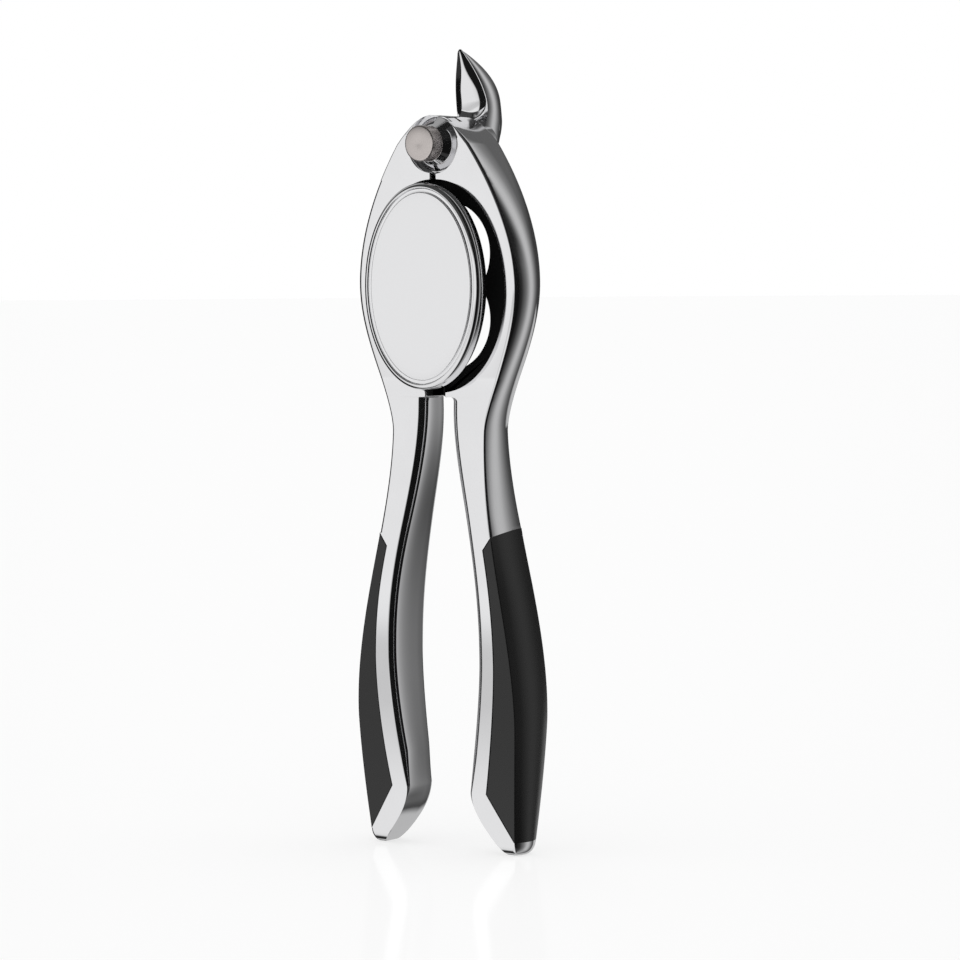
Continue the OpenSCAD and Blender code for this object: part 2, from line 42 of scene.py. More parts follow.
# Sizes of the object in millimetres. Angles are in radians, or in degrees where the name ends in DEG;
# powers, shares and slopes have no unit. X is right, Y is back and Z is up. The left arm takes the
# right arm's values, mirrored.

# Hinge
PIN_Z = 175.6
PIN_R = 3.0
PIN_HEAD_R = 4.4
PIN_HEAD_OUT = 7.4
PIN_NECK = 0.8
LUG_R = 7.1
LUG_GAP = 0.3
LUG_SINK = 2.2
LUG_EDGE_R = 0.35
LUG_FOOT_R = 0.25
LUG_CUT = 0.3
LUG_CUT_SHARE = 0.4
LUG_TOP_SHARE = 0.9998
REAR_EDGE_R = 0.2
FRONT_LUG_T = 3.6
THRUST_T = 0.5
COLLAR_R = 6.65
COLLAR_TOP_W = 0.05
COLLAR_LIP = 0.08
COLLAR_FOOT_H = 0.25
FLARE_H = 3.4
SEAT_GAP = 0.03
RUN_GAP = 0.04

# Outer outline of the arms
HEAD_Z = 140.5
HEAD_X = 23.9
HEAD_EASE = 0.83
WAIST_Z = 104.5
WAIST_X = 14.2
SWELL_Z = 33.0
SWELL_X = 24.25
SHOULDER_X = 10.9
SHOULDER_POW = 1.9
CROWN_POW = 1.5
TOE_TAPER = 2.3
TAPER_POW = 1.3
TOE_ROUND_H = 3.0
TOE_ROUND_W = 1.2

# Gap between the handles
HOLLOW_Z = 48.0
HOLLOW_X = 14.4
HOLLOW_POW = 1.6
THROAT_X = 5.75
THROAT_EASE = 1.19
THROAT_RISE = 2.4
THROAT_ABOVE_GRIP = 3.0
CORNER_Z = 15.0
CORNER_X = 10.0
CORNER_POW = 1.15
TOE_IN_X = 18.6

# Depth of the arms and swell of their sides
HINGE_D = 13.6
NECK_D = 9.4
NECK_Z = 117.5
NECK_EASE = 1.15
HANDLE_D = 15.2
HANDLE_D_Z = 54.0
TOE_D = 8.6
TOE_D_POW = 2
TOE_ROUND = 1.5
TOE_CUT_D = 1.3
TOE_CUT_X = 0.4
TOE_CUT_SIDE = 0.5
SIDE_BULGE = 1.6
NECK_BULGE = 0.9
HEAD_BULGE = 2.0
BULGE_LOW_Z = 60.0
BULGE_HIGH_Z = 86.0
BULGE_REACH = 40.0
BULGE_END_H = 5.2

# Edges of the arms: a wide round first, then a narrow one, and a fine groove behind it
EDGE_ROUND = 2.5
THROAT_ROUND = 3.3
EDGE_FADE_BELOW = 3.0
EDGE_FADE_ABOVE = 9.0
EDGE_FADE_POW = 0.7
WIDEN_FROM = 14.0
WIDEN_TO = 5.0
EDGE_FROM = math.radians(31)
RIGHT_FROM = math.radians(18)
RIGHT_SHIFT = 0.225
EDGE_MID = math.radians(53)
EDGE_TO = math.radians(77)
EDGE_WIDE = 1.4
EDGE_NARROW = 0.37
GROOVE_BACK = 0.55
GROOVE_FRONT = 0.32
GROOVE_D = 0.38
FRONT_EDGE_R = 0.18
BACK_EDGE_R = 1.0
JAW_EDGE_R = 0.64
BREAK_R = 0.15
FLAT_R = 0.1
CREASE_R = 0.95
CREASE_BACK_R = 0.45
SEAT_EDGE_R = 0.08
LEAST_R = 0.02

# Inner faces of the handles
THROAT_LEFT = 0.7
THROAT_RIGHT = 0.65
THROAT_BACK = 0.65
FILLET_LEFT = 0.35
FILLET_RIGHT = 1.2
FALL_POW = 1.35
FACE_SWELL = 0.1
FACE_STEPS = 9
FACE_SPACING = 1.4
SWELL_PEAK = 9.5
TOE_FALL = 0.55
TOE_FALL_REACH = 11.0

# Jaw and its liners
SLIT_W = 1.3
NOSE_Z = 113.0
NOSE_RIGHT_X = 1.2
NOSE_LEFT_X = 3.3
NOSE_TIP_R = 0.45
NOSE_CUT = 0.3
JAW_A = 20.7
JAW_B = 26.4
JAW_CUT = 0.35
JAW_STEPS = 96
LINER_D = 6.2
LINER_EDGE_R = 0.5
LINER_TOP_GAP = 0.6
LOBE_R = 12.7
LOBE_PITCH = 16.2
LOBE_X = 1.95
RIDGE_X = 12.2
LIP_T = 0.6
LIP_D = 8.6
LIP_H = 6.0
LIP_GAP = 0.25
LIP_EDGE_R = 0.2
LIP_SEAT_R = 0.05

# Cover disc and the ledge that carries it
DISC_A = 17.7
DISC_B = 25.5
DISC_T = 4.0
DISC_LIFT = 3.6
DISC_BACK_R = 0.6
DISC_MID = 9.0
RIM_W = 2.2
RIM_ROUND = 1.2
PLATE_T = 0.9
PLATE_GAP = 0.1
PLATE_EDGE_R = 0.3
BOSS_PITCH = 18.0
BOSS_X = 13.6
BOSS_R = 2.4
LEDGE_T = 1.3
LEDGE_W = 10.2
LEDGE_HALF_H = 13.0
LEDGE_LAP = 0.3
LEDGE_EDGE = 0.2

# Grips
GRIP_FOOT_Z = 3.4
GRIP_HEAD_Z = 78.8
GRIP_SLANT_H = 3.2
GRIP_ARCH = 1.6
ARCH_IN_GRIP = 6.0
ARCH_IN_ARM = 8.0
ARCH_EDGE_W = 0.2
GRIP_EDGE_R = 0.35
GRIP_SIDE_R = 0.3
STRIP_LOW_W = 4.6
STRIP_HIGH_W = 3.2

# Hook; heights on it are shares of HOOK_H
HOOK_H = 23.9
HOOK_FRONT_Y = 10.9
HOOK_BACK_Y = 20.5
HOOK_REACH = 5.5
HOOK_LEAN_POW = 2.2
HOOK_LEFT_W = 4.85
LEFT_FROM = 0.3
LEFT_POW = 2.6
LEFT_TIP_W = 0.9
LEFT_TIP_POW = 8
HOOK_RIM_X = 4.9
HOOK_TIP_X = 0.25
RIM_FROM = 0.45
RIM_POW = 1.5
TIP_FROM = 0.955
ROOT_X = 3.2
ROOT_FROM = 0.05
ROOT_TO = 0.42
EDGE_DROP = 0.35
LEFT_EDGE_W = 0.12
RIGHT_EDGE_W = 0.18
HOOK_SWEEP = 7.4
SWEEP_POW = 2.3
ROOT_SWEEP = 1.3
ROOT_SWEEP_TO = 0.27
ROOT_SWEEP_POW = 1.5
SIDE_ROOT_DEG = 30
SIDE_FULL_DEG = 64
SIDE_TO = 0.14
BACK_ROOT = 0.3
BACK_FULL = 0.6
BACK_TO = 0.38
BOWL_LOW = 0.262
BOWL_FULL = 0.35
BOWL_WIDE = 0.55
BOWL_LEFT_H = 0.04
BOWL_X = 0.6
BOWL_END_ROUND = 0.05
BOWL_END_MID = 0.9
WALL_LOW = 0.085
WALL_HIGH = 0.15
FOOT_LOW = 0.70
FOOT_HIGH = 0.42
DISH_FROM = 0.55
DISH_TO = 0.85
WALL_SLOPE = 1.25
FLOOR_IN = 0.22
FLOOR_OUT = -0.18
FAR_SLOPE = -0.28
HUB_R = 6.2
HUB_BACK_Y = 13.2
HUB_FLOOR_T = 4.0
POCKET_R = 4.2

# Camera: turned to the right of the front; the sine and cosine of that turn are 0.6 and 0.8
VIEW_TURN = math.radians(36.87)
VIEW_COS = 0.8
VIEW_DISTANCE = 850.0
VIEW_Z = 140.1
VIEW_FORWARD = 5.0
VIEW_ROLL = math.radians(-0.40)
FOCAL_PX = 3425.0
IMAGE_PX = 960.0
AIM_X = 438.3
AIM_Y = 287.6
SENSOR_MM = 36.0

# Floor, in metres, and levels of the light
FLOOR_HALF = 40.0
FLOOR_DROP = 0.0002
FLOOR_GLOW = 1.07
FLOOR_GLOW_SHARE = 0.72
FLOOR_GLOSS_SHARE = 0.10
FLOOR_GLOSS_ROUGH = 0.12
ROOM_LEVEL = 1.05

# Planes across the hinge and the disc
FACE_Y = -HINGE_D / 2
LUG_FRONT_Y = FACE_Y + LUG_SINK
LUG_BACK_Y = LUG_FRONT_Y + FRONT_LUG_T
REAR_LUG_Y = LUG_BACK_Y + THRUST_T + 2 * SEAT_GAP
HINGE_BACK_Y = HINGE_D / 2
PIN_FACE_Y = LUG_FRONT_Y - PIN_HEAD_OUT
HUB_FRONT_Y = HINGE_BACK_Y + SEAT_GAP
POCKET_Y = HUB_FRONT_Y + HUB_FLOOR_T
LEDGE_Y = -LINER_D / 2 - SEAT_GAP - LEDGE_T
DISC_BACK_Y = LEDGE_Y - DISC_LIFT
DISC_FRONT_Y = DISC_BACK_Y - DISC_T
FRAME_Y = -(min(PIN_FACE_Y, DISC_FRONT_Y) + HOOK_BACK_Y) / 2


def mix(a, b, t):
    return a + (b - a) * t


def share(z, z0, z1):
    return max(0.0, min(1.0, (z - z0) / (z1 - z0)))


def smooth(t):
    return t * t * (3 - 2 * t)


def run(z, z0, a, z1, b, ease=1.0):
    return mix(a, b, smooth(share(z, z0, z1) ** ease))


def bend(z, z0, a, z1, b, power):
    return mix(a, b, share(z, z0, z1) ** power)


def circle_x(r, dz):
    return math.sqrt(max(0.0, r * r - dz * dz))


def crease_x(z):
    """Half width of the front face at a height."""
    if z < TOE_ROUND_H:
        turn = 1 - math.sqrt(max(0.0, 1 - (1 - z / TOE_ROUND_H) ** 2))
        return crease_x(TOE_ROUND_H) - TOE_ROUND_W * turn
    if z < SWELL_Z:
        return bend(z, SWELL_Z, SWELL_X, 0, SWELL_X - TOE_TAPER, TAPER_POW)
    if z < WAIST_Z:
        return run(z, SWELL_Z, SWELL_X, WAIST_Z, WAIST_X)
    if z < HEAD_Z:
        return run(z, WAIST_Z, WAIST_X, HEAD_Z, HEAD_X, HEAD_EASE)
    if z < PIN_Z:
        return bend(z, HEAD_Z, HEAD_X, PIN_Z, SHOULDER_X, SHOULDER_POW)
    rise = min(1.0, (z - PIN_Z) / LUG_R)
    return LUG_R * math.sqrt(1 - rise * rise) + (SHOULDER_X - LUG_R) * (1 - rise) ** CROWN_POW


def handle_in_x(z):
    """Half of the gap between the handles on the front face."""
    if z < CORNER_Z:
        return mix(TOE_IN_X, CORNER_X, math.sin(math.radians(90 * z / CORNER_Z)) ** CORNER_POW)
    if z < HOLLOW_Z:
        return bend(z, HOLLOW_Z, HOLLOW_X, CORNER_Z, CORNER_X, HOLLOW_POW)
    return run(z, HOLLOW_Z, HOLLOW_X, NOSE_Z - THROAT_RISE, THROAT_X, THROAT_EASE)


def depth(z):
    """Depth of the arms at a height."""
    if z < HANDLE_D_Z:
        return bend(z, HANDLE_D_Z, HANDLE_D, 0, TOE_D, TOE_D_POW)
    if z < NECK_Z:
        return run(z, HANDLE_D_Z, HANDLE_D, NECK_Z, NECK_D, NECK_EASE)
    return mix(NECK_D, HINGE_D, share(z, NECK_Z, PIN_Z))


def edge_round(z):
    """Radius of the round on the handles' inner front edge, which runs out at the toe."""
    low = EDGE_ROUND * share(z, CORNER_Z - EDGE_FADE_BELOW, CORNER_Z + EDGE_FADE_ABOVE) ** EDGE_FADE_POW
    widening = smooth(share(z, HOLLOW_Z + WIDEN_FROM, NOSE_Z - WIDEN_TO))
    return low + (THROAT_ROUND - EDGE_ROUND) * widening


def throat_share(z):
    return smooth(share(z, GRIP_HEAD_Z + THROAT_ABOVE_GRIP, NOSE_Z - THROAT_RISE))


def front_in_x(z, shift):
    """Inner edge in front, shifted under the jaw."""
    return handle_in_x(z) + shift * throat_share(z)


def back_in_x(z):
    """Inner edge behind."""
    toe = smooth(1 - min(1.0, abs(z - CORNER_Z) / TOE_FALL_REACH))
    return handle_in_x(z) - THROAT_BACK * throat_share(z) + TOE_FALL * toe


def bulge(z):
    """How far the outer side swells out at a height."""
    beside_jaw = smooth(1 - min(1.0, abs(z - HEAD_Z) / BULGE_REACH))
    beside_handle = run(z, BULGE_LOW_Z, SIDE_BULGE, BULGE_HIGH_Z, NECK_BULGE)
    return beside_handle + (HEAD_BULGE - NECK_BULGE) * beside_jaw


def grip_arch(z, y):
    """Rise of the grip's upper end from its front edge to the back."""
    h = depth(z) / 2
    s = max(0.0, min(1.0, (y + h) / (2 * h)))
    return GRIP_ARCH * (1 - (1 - s) ** 2)


def strip_w(z):
    return mix(STRIP_LOW_W, STRIP_HIGH_W, share(z, CORNER_Z, GRIP_HEAD_Z - GRIP_SLANT_H))


def grip_line_x(z):
    """Line where a grip meets the bare strip of metal."""
    low = CORNER_Z
    high = GRIP_HEAD_Z - GRIP_SLANT_H
    if z < low:
        return mix(crease_x(GRIP_FOOT_Z), handle_in_x(low) + strip_w(low), share(z, GRIP_FOOT_Z, low))
    if z < high:
        return handle_in_x(z) + strip_w(z)
    return mix(handle_in_x(high) + strip_w(high), crease_x(GRIP_HEAD_Z), share(z, high, GRIP_HEAD_Z))


def steps(a, b, n):
    return [mix(a, b, k / n) for k in range(n + 1)]


def grip_heights(low, high):
    """Heights of the sections along a grip."""
    slant = GRIP_HEAD_Z - GRIP_SLANT_H
    return steps(low, CORNER_Z, 14) + steps(CORNER_Z, slant, 56)[1:] + steps(slant, high, 4)[1:]


# Mesh building

SIDE_STEPS = 15
CORNER_SHARE = 0.45
MERGE_M = 2e-6
SLIVER_M = 1e-7


def rounded(corners):
    """Closed outline with its corners (x, y, radius) rounded by four points; radius None keeps a point."""
    out = []
    count = len(corners)
    for i, (x, y, r) in enumerate(corners):
        here = Vector((x, y))
        if r is None:
            out.append(here)
            continue
        before = Vector(corners[i - 1][:2]) - here
        after = Vector(corners[(i + 1) % count][:2]) - here
        reach = min(r, CORNER_SHARE * before.length, CORNER_SHARE * after.length)
        p = here + before.normalized() * reach if before.length > 1e-9 else here
        q = here + after.normalized() * reach if after.length > 1e-9 else here
        for t in (0.0, 1 / 3, 2 / 3, 1.0):
            out.append(p * (1 - t) ** 2 + here * 2 * t * (1 - t) + q * t * t)
    return out


def side_points(out_x, swell, front, back):
    """Points of the swelling outer side between its two creases."""
    points = []
    for k in range(2, SIDE_STEPS):
        t = 2 * k / SIDE_STEPS - 1
        points.append((out_x + swell * (1 - t * t), (front + back) / 2 + (back - front) / 2 * t, None))
    return points


def lifted(points, in_x, fade=1.0):
    """Section whose outer side rises with the arch of the grip's upper end."""
    out = []
    for x, y, z in points:
        if x > in_x:
            rise = grip_arch(z, y) * fade
            x += crease_x(z + rise) - crease_x(z)
            z += rise
        out.append((x, y, z))
    return out


def ring(z, corners):
    return [(p.x, p.y, z) for p in rounded(corners)]


def arm_ring(z, out_x, swell, front, back, inner, crease_r=CREASE_BACK_R, front_r=None):
    """Level section of an arm. inner goes from the back inner edge to the front inner edge."""
    corners = [inner[-1], (out_x, front, front_r or crease_r)]
    corners += side_points(out_x, swell, front, back)
    corners.append((out_x, back, crease_r))
    corners += inner[:-1]
    return ring(z, corners)


def bare_ring(z, inner):
    """Level section of an arm above its grip."""
    h = depth(z) / 2
    return arm_ring(z, crease_x(z), bulge(z), -h, h, inner, front_r=CREASE_R)


def edge_in(r, a, start):
    """How far the inner edge has come in at angle a: a wide round first, then a narrow one."""
    wide = EDGE_WIDE * (math.sin(min(a, EDGE_MID)) - math.sin(start))
    return r * (wide + EDGE_NARROW * (math.sin(max(a, EDGE_MID)) - math.sin(EDGE_MID)))


def edge_back(r, a, start):
    """How far the inner edge has gone back at angle a."""
    wide = EDGE_WIDE * (math.cos(start) - math.cos(min(a, EDGE_MID)))
    return r * (wide + EDGE_NARROW * (math.cos(EDGE_MID) - math.cos(max(a, EDGE_MID))))


def handle_inner(in_x, back_x, h, r, start):
    """Inner side of a handle: round front edge, fine groove and a face that falls away to the back."""
    r = max(LEAST_R, r)
    if start == RIGHT_FROM:
        in_x += RIGHT_SHIFT * r
    groove = min(1.0, r / EDGE_ROUND)
    fold_x = in_x - edge_in(r, EDGE_TO, start)
    fold_y = -h + edge_back(r, EDGE_TO, start)
    low_x = fold_x + GROOVE_D * groove
    low_y = fold_y + GROOVE_BACK * groove
    face_y = low_y + GROOVE_FRONT * groove
    points = [(back_x, h, BACK_EDGE_R)]
    for k in range(2, FACE_STEPS):
        s = (1 - k / FACE_STEPS) ** FACE_SPACING
        swell = FACE_SWELL * groove * SWELL_PEAK * s * (1 - s) ** 3
        points.append((mix(fold_x, back_x, s ** FALL_POW) - swell, mix(face_y, h, s), None))
    points += [(fold_x, face_y, None), (low_x, low_y, None)]
    for q in (0.6, 0.2):
        points.append((mix(fold_x, low_x, q), mix(fold_y, low_y, q), None))
    turns = steps(EDGE_TO, EDGE_MID, 4)[:-1] + steps(EDGE_MID, start, 5)[:-1]
    for a in turns:
        points.append((in_x - edge_in(r, a, start), -h + edge_back(r, a, start), None))
    points.append((in_x, -h, FRONT_EDGE_R))
    return points


def plain_inner(in_x, cut, h):
    """Inner side of a section with two bevels and a flat between them."""
    flat = in_x - cut
    top = h - cut
    return [
        (in_x, h, BREAK_R),
        (flat, top, BREAK_R),
        (flat, 0.5 * top, FLAT_R),
        (flat, 0.0, FLAT_R),
        (flat, -0.5 * top, FLAT_R),
        (flat, -top, BREAK_R),
        (in_x, -h, BREAK_R),
    ]


def solid(name, groups, mirror=False, sharp=40.0, fine=True):
    """Mesh object from groups of rings. Each group is lofted and capped; places are in millimetres."""
    mesh = bpy.data.meshes.new(name)
    bm = bmesh.new()
    for rings in groups:
        rows = []
        for points in rings:
            row = []
            for x, y, z in points:
                row.append(bm.verts.new(((-x if mirror else x) * MM, (y + FRAME_Y) * MM, z * MM)))
            rows.append(row)
        count = len(rows[0])
        for low, high in zip(rows[:-1], rows[1:]):
            for k in range(count):
                j = (k + 1) % count
                bm.faces.new((low[k], low[j], high[j], high[k]))
        bm.faces.new(list(reversed(rows[0])))
        bm.faces.new(rows[-1])
    bmesh.ops.remove_doubles(bm, verts=bm.verts, dist=MERGE_M)
    bmesh.ops.dissolve_degenerate(bm, dist=SLIVER_M, edges=bm.edges)
    bmesh.ops.recalc_face_normals(bm, faces=bm.faces)
    for face in bm.faces:
        face.smooth = True
    bm.to_mesh(mesh)
    bm.free()
    mesh.set_sharp_from_angle(angle=math.radians(sharp))
    piece = bpy.data.objects.new(name, mesh)
    bpy.context.scene.collection.objects.link(piece)
    if fine:
        weighted = piece.modifiers.new("weighted", "WEIGHTED_NORMAL")
        weighted.keep_sharp = True
        weighted.weight = 100
    return piece


def lathe_rings(profile, x, z, n=96):
    """Rings about an axis along Y through (x, z). profile is a list of (radius, y)."""
    rings = []
    for r, y in profile:
        rings.append([
            (x + r * math.cos(2 * math.pi * k / n), y, z - r * math.sin(2 * math.pi * k / n))
            for k in range(n)
        ])
    return rings


def outline_rings(outline, profile):
    """Rings of a flat outline in X and Z, drawn in by each inset of profile (inset, y)."""
    count = len(outline)
    normals = []
    for i in range(count):
        ax, az = outline[i - 1]
        bx, bz = outline[(i + 1) % count]
        tx, tz = bx - ax, bz - az
        size = math.hypot(tx, tz) or 1.0
        normals.append((tz / size, -tx / size))
    rings = []
    for inset, y in profile:
        rings.append([
            (outline[i][0] - normals[i][0] * inset, y, outline[i][1] - normals[i][1] * inset)
            for i in range(count)
        ])
    return rings


def oval_outline(a, b, x, z, n=192):
    turns = [2 * math.pi * k / n for k in range(n)]
    return [(x + a * math.cos(turn), z + b * math.sin(turn)) for turn in turns]


# Arms

def handle_rings(shift, start):
    """Sections from the toe to the throat."""
    rings = []
    for a in range(0, 91, 9):
        c = math.radians(a)
        z = GRIP_FOOT_Z * (1 - math.cos(c))
        inset = TOE_ROUND * (1 - math.sin(c))
        h = depth(z) / 2 - TOE_CUT_D * inset
        in_x = handle_in_x(z) + TOE_CUT_X * inset
        inner = handle_inner(in_x, in_x, h, edge_round(z), start)
        swell = SIDE_BULGE * (1 - TOE_CUT_SIDE * inset / TOE_ROUND)
        rings.append(arm_ring(z, crease_x(z), swell, -h, h, inner, CREASE_BACK_R + TOE_CUT_X * inset))
    for z in grip_heights(GRIP_FOOT_Z + 0.01, GRIP_HEAD_Z):
        h = depth(z) / 2
        inner = handle_inner(handle_in_x(z), back_in_x(z), h, edge_round(z), start)
        rings.append(arm_ring(z, grip_line_x(z) - SEAT_GAP, 0.0, -h, h, inner, SEAT_EDGE_R))
    for z in steps(GRIP_HEAD_Z + 0.01, NOSE_Z - THROAT_RISE, 28):
        inner = handle_inner(front_in_x(z, shift), back_in_x(z), depth(z) / 2, edge_round(z), start)
        fade = 1 - share(z, GRIP_HEAD_Z, GRIP_HEAD_Z + ARCH_IN_ARM)
        rings.append(lifted(bare_ring(z, inner), crease_x(z) - ARCH_EDGE_W, fade))
    return rings


def nose_rings(end_x, shift, start, fillet):
    """Sections through the fillet under the nose and its ledge."""
    rings = []
    nose_x = end_x + LIP_T
    base = NOSE_Z - fillet
    for k in range(7):
        a = math.radians(15 * k)
        z = base + fillet * math.sin(a)
        turn = 1 - math.cos(a)
        front = front_in_x(z, shift)
        reach = min(fillet, front - nose_x - edge_in(JAW_EDGE_R, EDGE_TO, EDGE_FROM))
        r = mix(edge_round(z), JAW_EDGE_R, turn)
        inner = handle_inner(front - reach * turn, back_in_x(z) - reach * turn, depth(z) / 2, r, start)
        rings.append(bare_ring(z, inner))
    for k in range(5):
        a = math.radians(22.5 * k)
        z = NOSE_Z + 0.002 + NOSE_TIP_R * (1 - math.cos(a))
        in_x = nose_x + NOSE_CUT + NOSE_TIP_R * (1 - math.sin(a))
        rings.append(bare_ring(z, plain_inner(in_x, NOSE_CUT, depth(z) / 2)))
    return rings


def jaw_rings(end_x):
    """Sections round the oval opening."""
    rings = []
    nose_x = end_x + LIP_T
    start = math.asin(nose_x / JAW_A)
    end = math.pi - math.asin(SLIT_W / 2 / JAW_A)
    for a in steps(start, end, JAW_STEPS):
        z = HEAD_Z - JAW_B * math.cos(a)
        rings.append(bare_ring(z, plain_inner(JAW_A * math.sin(a) + JAW_CUT, JAW_CUT, depth(z) / 2)))
    return rings


def swell_at(z):
    """Swell of the outer side, run out above the hinge."""
    return bulge(z) * (1 - smooth(share(z, PIN_Z, PIN_Z + BULGE_END_H)))


def hinge_heights():
    """Heights of the sections above the jaw, close together round the lugs."""
    low = HEAD_Z + JAW_B * math.cos(math.asin(SLIT_W / 2 / JAW_A)) + 0.02
    notch = LUG_R + LUG_GAP
    zs = steps(low, PIN_Z - notch, 4)
    zs += [PIN_Z - notch * math.cos(math.radians(a)) for a in range(4, 90, 4)]
    zs += [PIN_Z + LUG_R * math.sin(math.radians(a)) for a in range(0, 90, 3)]
    zs.append(PIN_Z + LUG_R * LUG_TOP_SHARE)
    return sorted(z for z in zs if z <= PIN_Z + LUG_R)


def right_hinge_rings():
    """Sections of the right arm through its rear lug."""
    rings = []
    notch_r = LUG_R + LUG_GAP
    for z in hinge_heights():
        dz = z - PIN_Z
        h = depth(z) / 2
        out_x = crease_x(z)
        near = max(SLIT_W / 2, circle_x(notch_r, dz))
        far = -circle_x(LUG_R, dz) if abs(dz) < LUG_R else SLIT_W / 2
        front = -h
        if near > out_x - 0.02:
            near = out_x
            front = REAR_LUG_Y
        cut = min(LUG_CUT, LUG_CUT_SHARE * (out_x - near))
        inner = [
            (far, h, LUG_EDGE_R),
            (far, 0.5 * (h + REAR_LUG_Y), FLAT_R),
            (far, REAR_LUG_Y, LUG_FOOT_R),
            (near, REAR_LUG_Y, FLAT_R),
            (near, 0.5 * (REAR_LUG_Y + front), FLAT_R),
            (near, min(REAR_LUG_Y, front + cut), FLAT_R),
            (near + cut, front, BREAK_R),
        ]
        rings.append(arm_ring(z, out_x, swell_at(z), front, h, inner, front_r=CREASE_R))
    return rings


def left_hinge_rings():
    """Sections of the left arm through its front lug, in mirrored places."""
    rings = []
    notch_r = LUG_R + LUG_GAP
    for z in hinge_heights():
        dz = z - PIN_Z
        h = depth(z) / 2
        out_x = crease_x(z)
        lug = circle_x(LUG_R, dz)
        sunk = max(SLIT_W / 2, lug)
        rear = max(SLIT_W / 2, circle_x(notch_r, dz))
        far = -lug if abs(dz) < LUG_R else SLIT_W / 2
        back = h
        if rear > out_x - 0.02:
            rear = out_x
            back = LUG_BACK_Y
        cut = min(LUG_CUT, LUG_CUT_SHARE * (out_x - sunk))
        inner = [
            (rear, back, REAR_EDGE_R),
            (rear, LUG_BACK_Y, FLAT_R),
            (far, LUG_BACK_Y, LUG_FOOT_R),
            (far, LUG_FRONT_Y, LUG_EDGE_R),
            (sunk, LUG_FRONT_Y, FLAT_R),
            (sunk, -h + cut, FLAT_R),
            (sunk + cut, -h, BREAK_R),
        ]
        rings.append(arm_ring(z, out_x, swell_at(z), -h, back, inner))
    return rings


def ledge_rings():
    """Ledge on the left arm behind the disc, in mirrored places."""
    outline = []
    outside = math.asin(LEDGE_HALF_H / (JAW_B + LEDGE_LAP))
    for a in steps(-outside, outside, 40):
        outline.append(((JAW_A + LEDGE_LAP) * math.cos(a), HEAD_Z + (JAW_B + LEDGE_LAP) * math.sin(a)))
    a0 = JAW_A - LEDGE_W
    b0 = JAW_B - LEDGE_W
    inside = math.asin(LEDGE_HALF_H / b0)
    for a in steps(inside, -inside, 40):
        outline.append((a0 * math.cos(a), HEAD_Z + b0 * math.sin(a)))
    back = LEDGE_Y + LEDGE_T
    profile = [
        (LEDGE_EDGE, LEDGE_Y),
        (0.0, LEDGE_Y + LEDGE_EDGE),
        (0.0, back - LEDGE_EDGE),
        (LEDGE_EDGE, back),
    ]
    return outline_rings(outline, profile)


right_rings = handle_rings(-THROAT_RIGHT, RIGHT_FROM)
right_rings += nose_rings(NOSE_RIGHT_X, -THROAT_RIGHT, RIGHT_FROM, FILLET_RIGHT)
right_rings += jaw_rings(NOSE_RIGHT_X) + right_hinge_rings()
right_arm = solid("right_arm_shell", [right_rings])
left_rings = handle_rings(THROAT_LEFT, EDGE_FROM)
left_rings += nose_rings(NOSE_LEFT_X, THROAT_LEFT, EDGE_FROM, FILLET_LEFT)
left_rings += jaw_rings(NOSE_LEFT_X) + left_hinge_rings()
left_arm = solid("left_arm_shell", [left_rings, ledge_rings()], mirror=True)


# Grips

def grip_rings():
    """Sections of a grip, whose upper end is arched."""
    rings = []
    top = GRIP_HEAD_Z - 0.03
    for z in grip_heights(GRIP_FOOT_Z + 0.05, top):
        h = depth(z) / 2
        in_x = grip_line_x(z) + SEAT_GAP
        out_x = max(crease_x(z), in_x + 0.02)
        corners = [(in_x, -h, GRIP_EDGE_R), (out_x, -h, GRIP_SIDE_R)]
        corners += side_points(out_x, bulge(z), -h, h)
        corners += [(out_x, h, GRIP_SIDE_R), (in_x, h, GRIP_EDGE_R)]
        fade = smooth(share(z, GRIP_HEAD_Z - GRIP_SLANT_H - ARCH_IN_GRIP, top))
        rings.append(lifted(ring(z, corners), in_x + 0.01, fade))
    return rings


right_grip = solid("right_grip_soft", [grip_rings()])
left_grip = solid("left_grip_soft", [grip_rings()], mirror=True)


# Jaw liners

def liner_outline(nose_x):
    """Outline of a liner on the right-hand side, anticlockwise seen from the front."""
    a0 = JAW_A - SEAT_GAP
    b0 = JAW_B - SEAT_GAP
    lip_x = nose_x + LIP_T - SEAT_GAP
    lip_z = NOSE_Z + LIP_GAP
    top_x = SLIT_W / 2 + LINER_TOP_GAP
    lip_top = HEAD_Z - b0 * math.sqrt(1 - (lip_x / a0) ** 2)
    outline = [
        (nose_x, mix(lip_z, lip_top, 0.5)),
        (nose_x, lip_z),
        (mix(nose_x, lip_x, 0.5), lip_z),
        (lip_x, lip_z),
    ]
    for a in steps(math.asin(lip_x / a0), math.pi - math.asin(top_x / a0), 90):
        outline.append((a0 * math.sin(a), HEAD_Z - b0 * math.cos(a)))
    half = LOBE_PITCH / 2
    edge = math.acos((RIDGE_X - LOBE_X) / LOBE_R)
    top_a = math.acos(max(-1.0, (top_x - LOBE_X) / LOBE_R))
    low_a = math.acos(max(-1.0, (nose_x - LOBE_X) / LOBE_R))
    for a in steps(top_a, -edge, 44):
        outline.append((LOBE_X + LOBE_R * math.cos(a), HEAD_Z + half + LOBE_R * math.sin(a)))
    for a in steps(edge, -low_a, 44):
        outline.append((LOBE_X + LOBE_R * math.cos(a), HEAD_Z - half + LOBE_R * math.sin(a)))
    return outline


def liner_rings(nose_x):
    """Liner with rounded edges in front and behind."""
    h = LINER_D / 2
    front = []
    back = []
    for a in (0, 30, 60, 90):
        c = math.radians(a)
        inset = LINER_EDGE_R * (1 - math.sin(c))
        turn = LINER_EDGE_R * (1 - math.cos(c))
        front.append((inset, -h + turn))
        back.append((inset, h - turn))
    return outline_rings(liner_outline(nose_x), front + back[::-1])


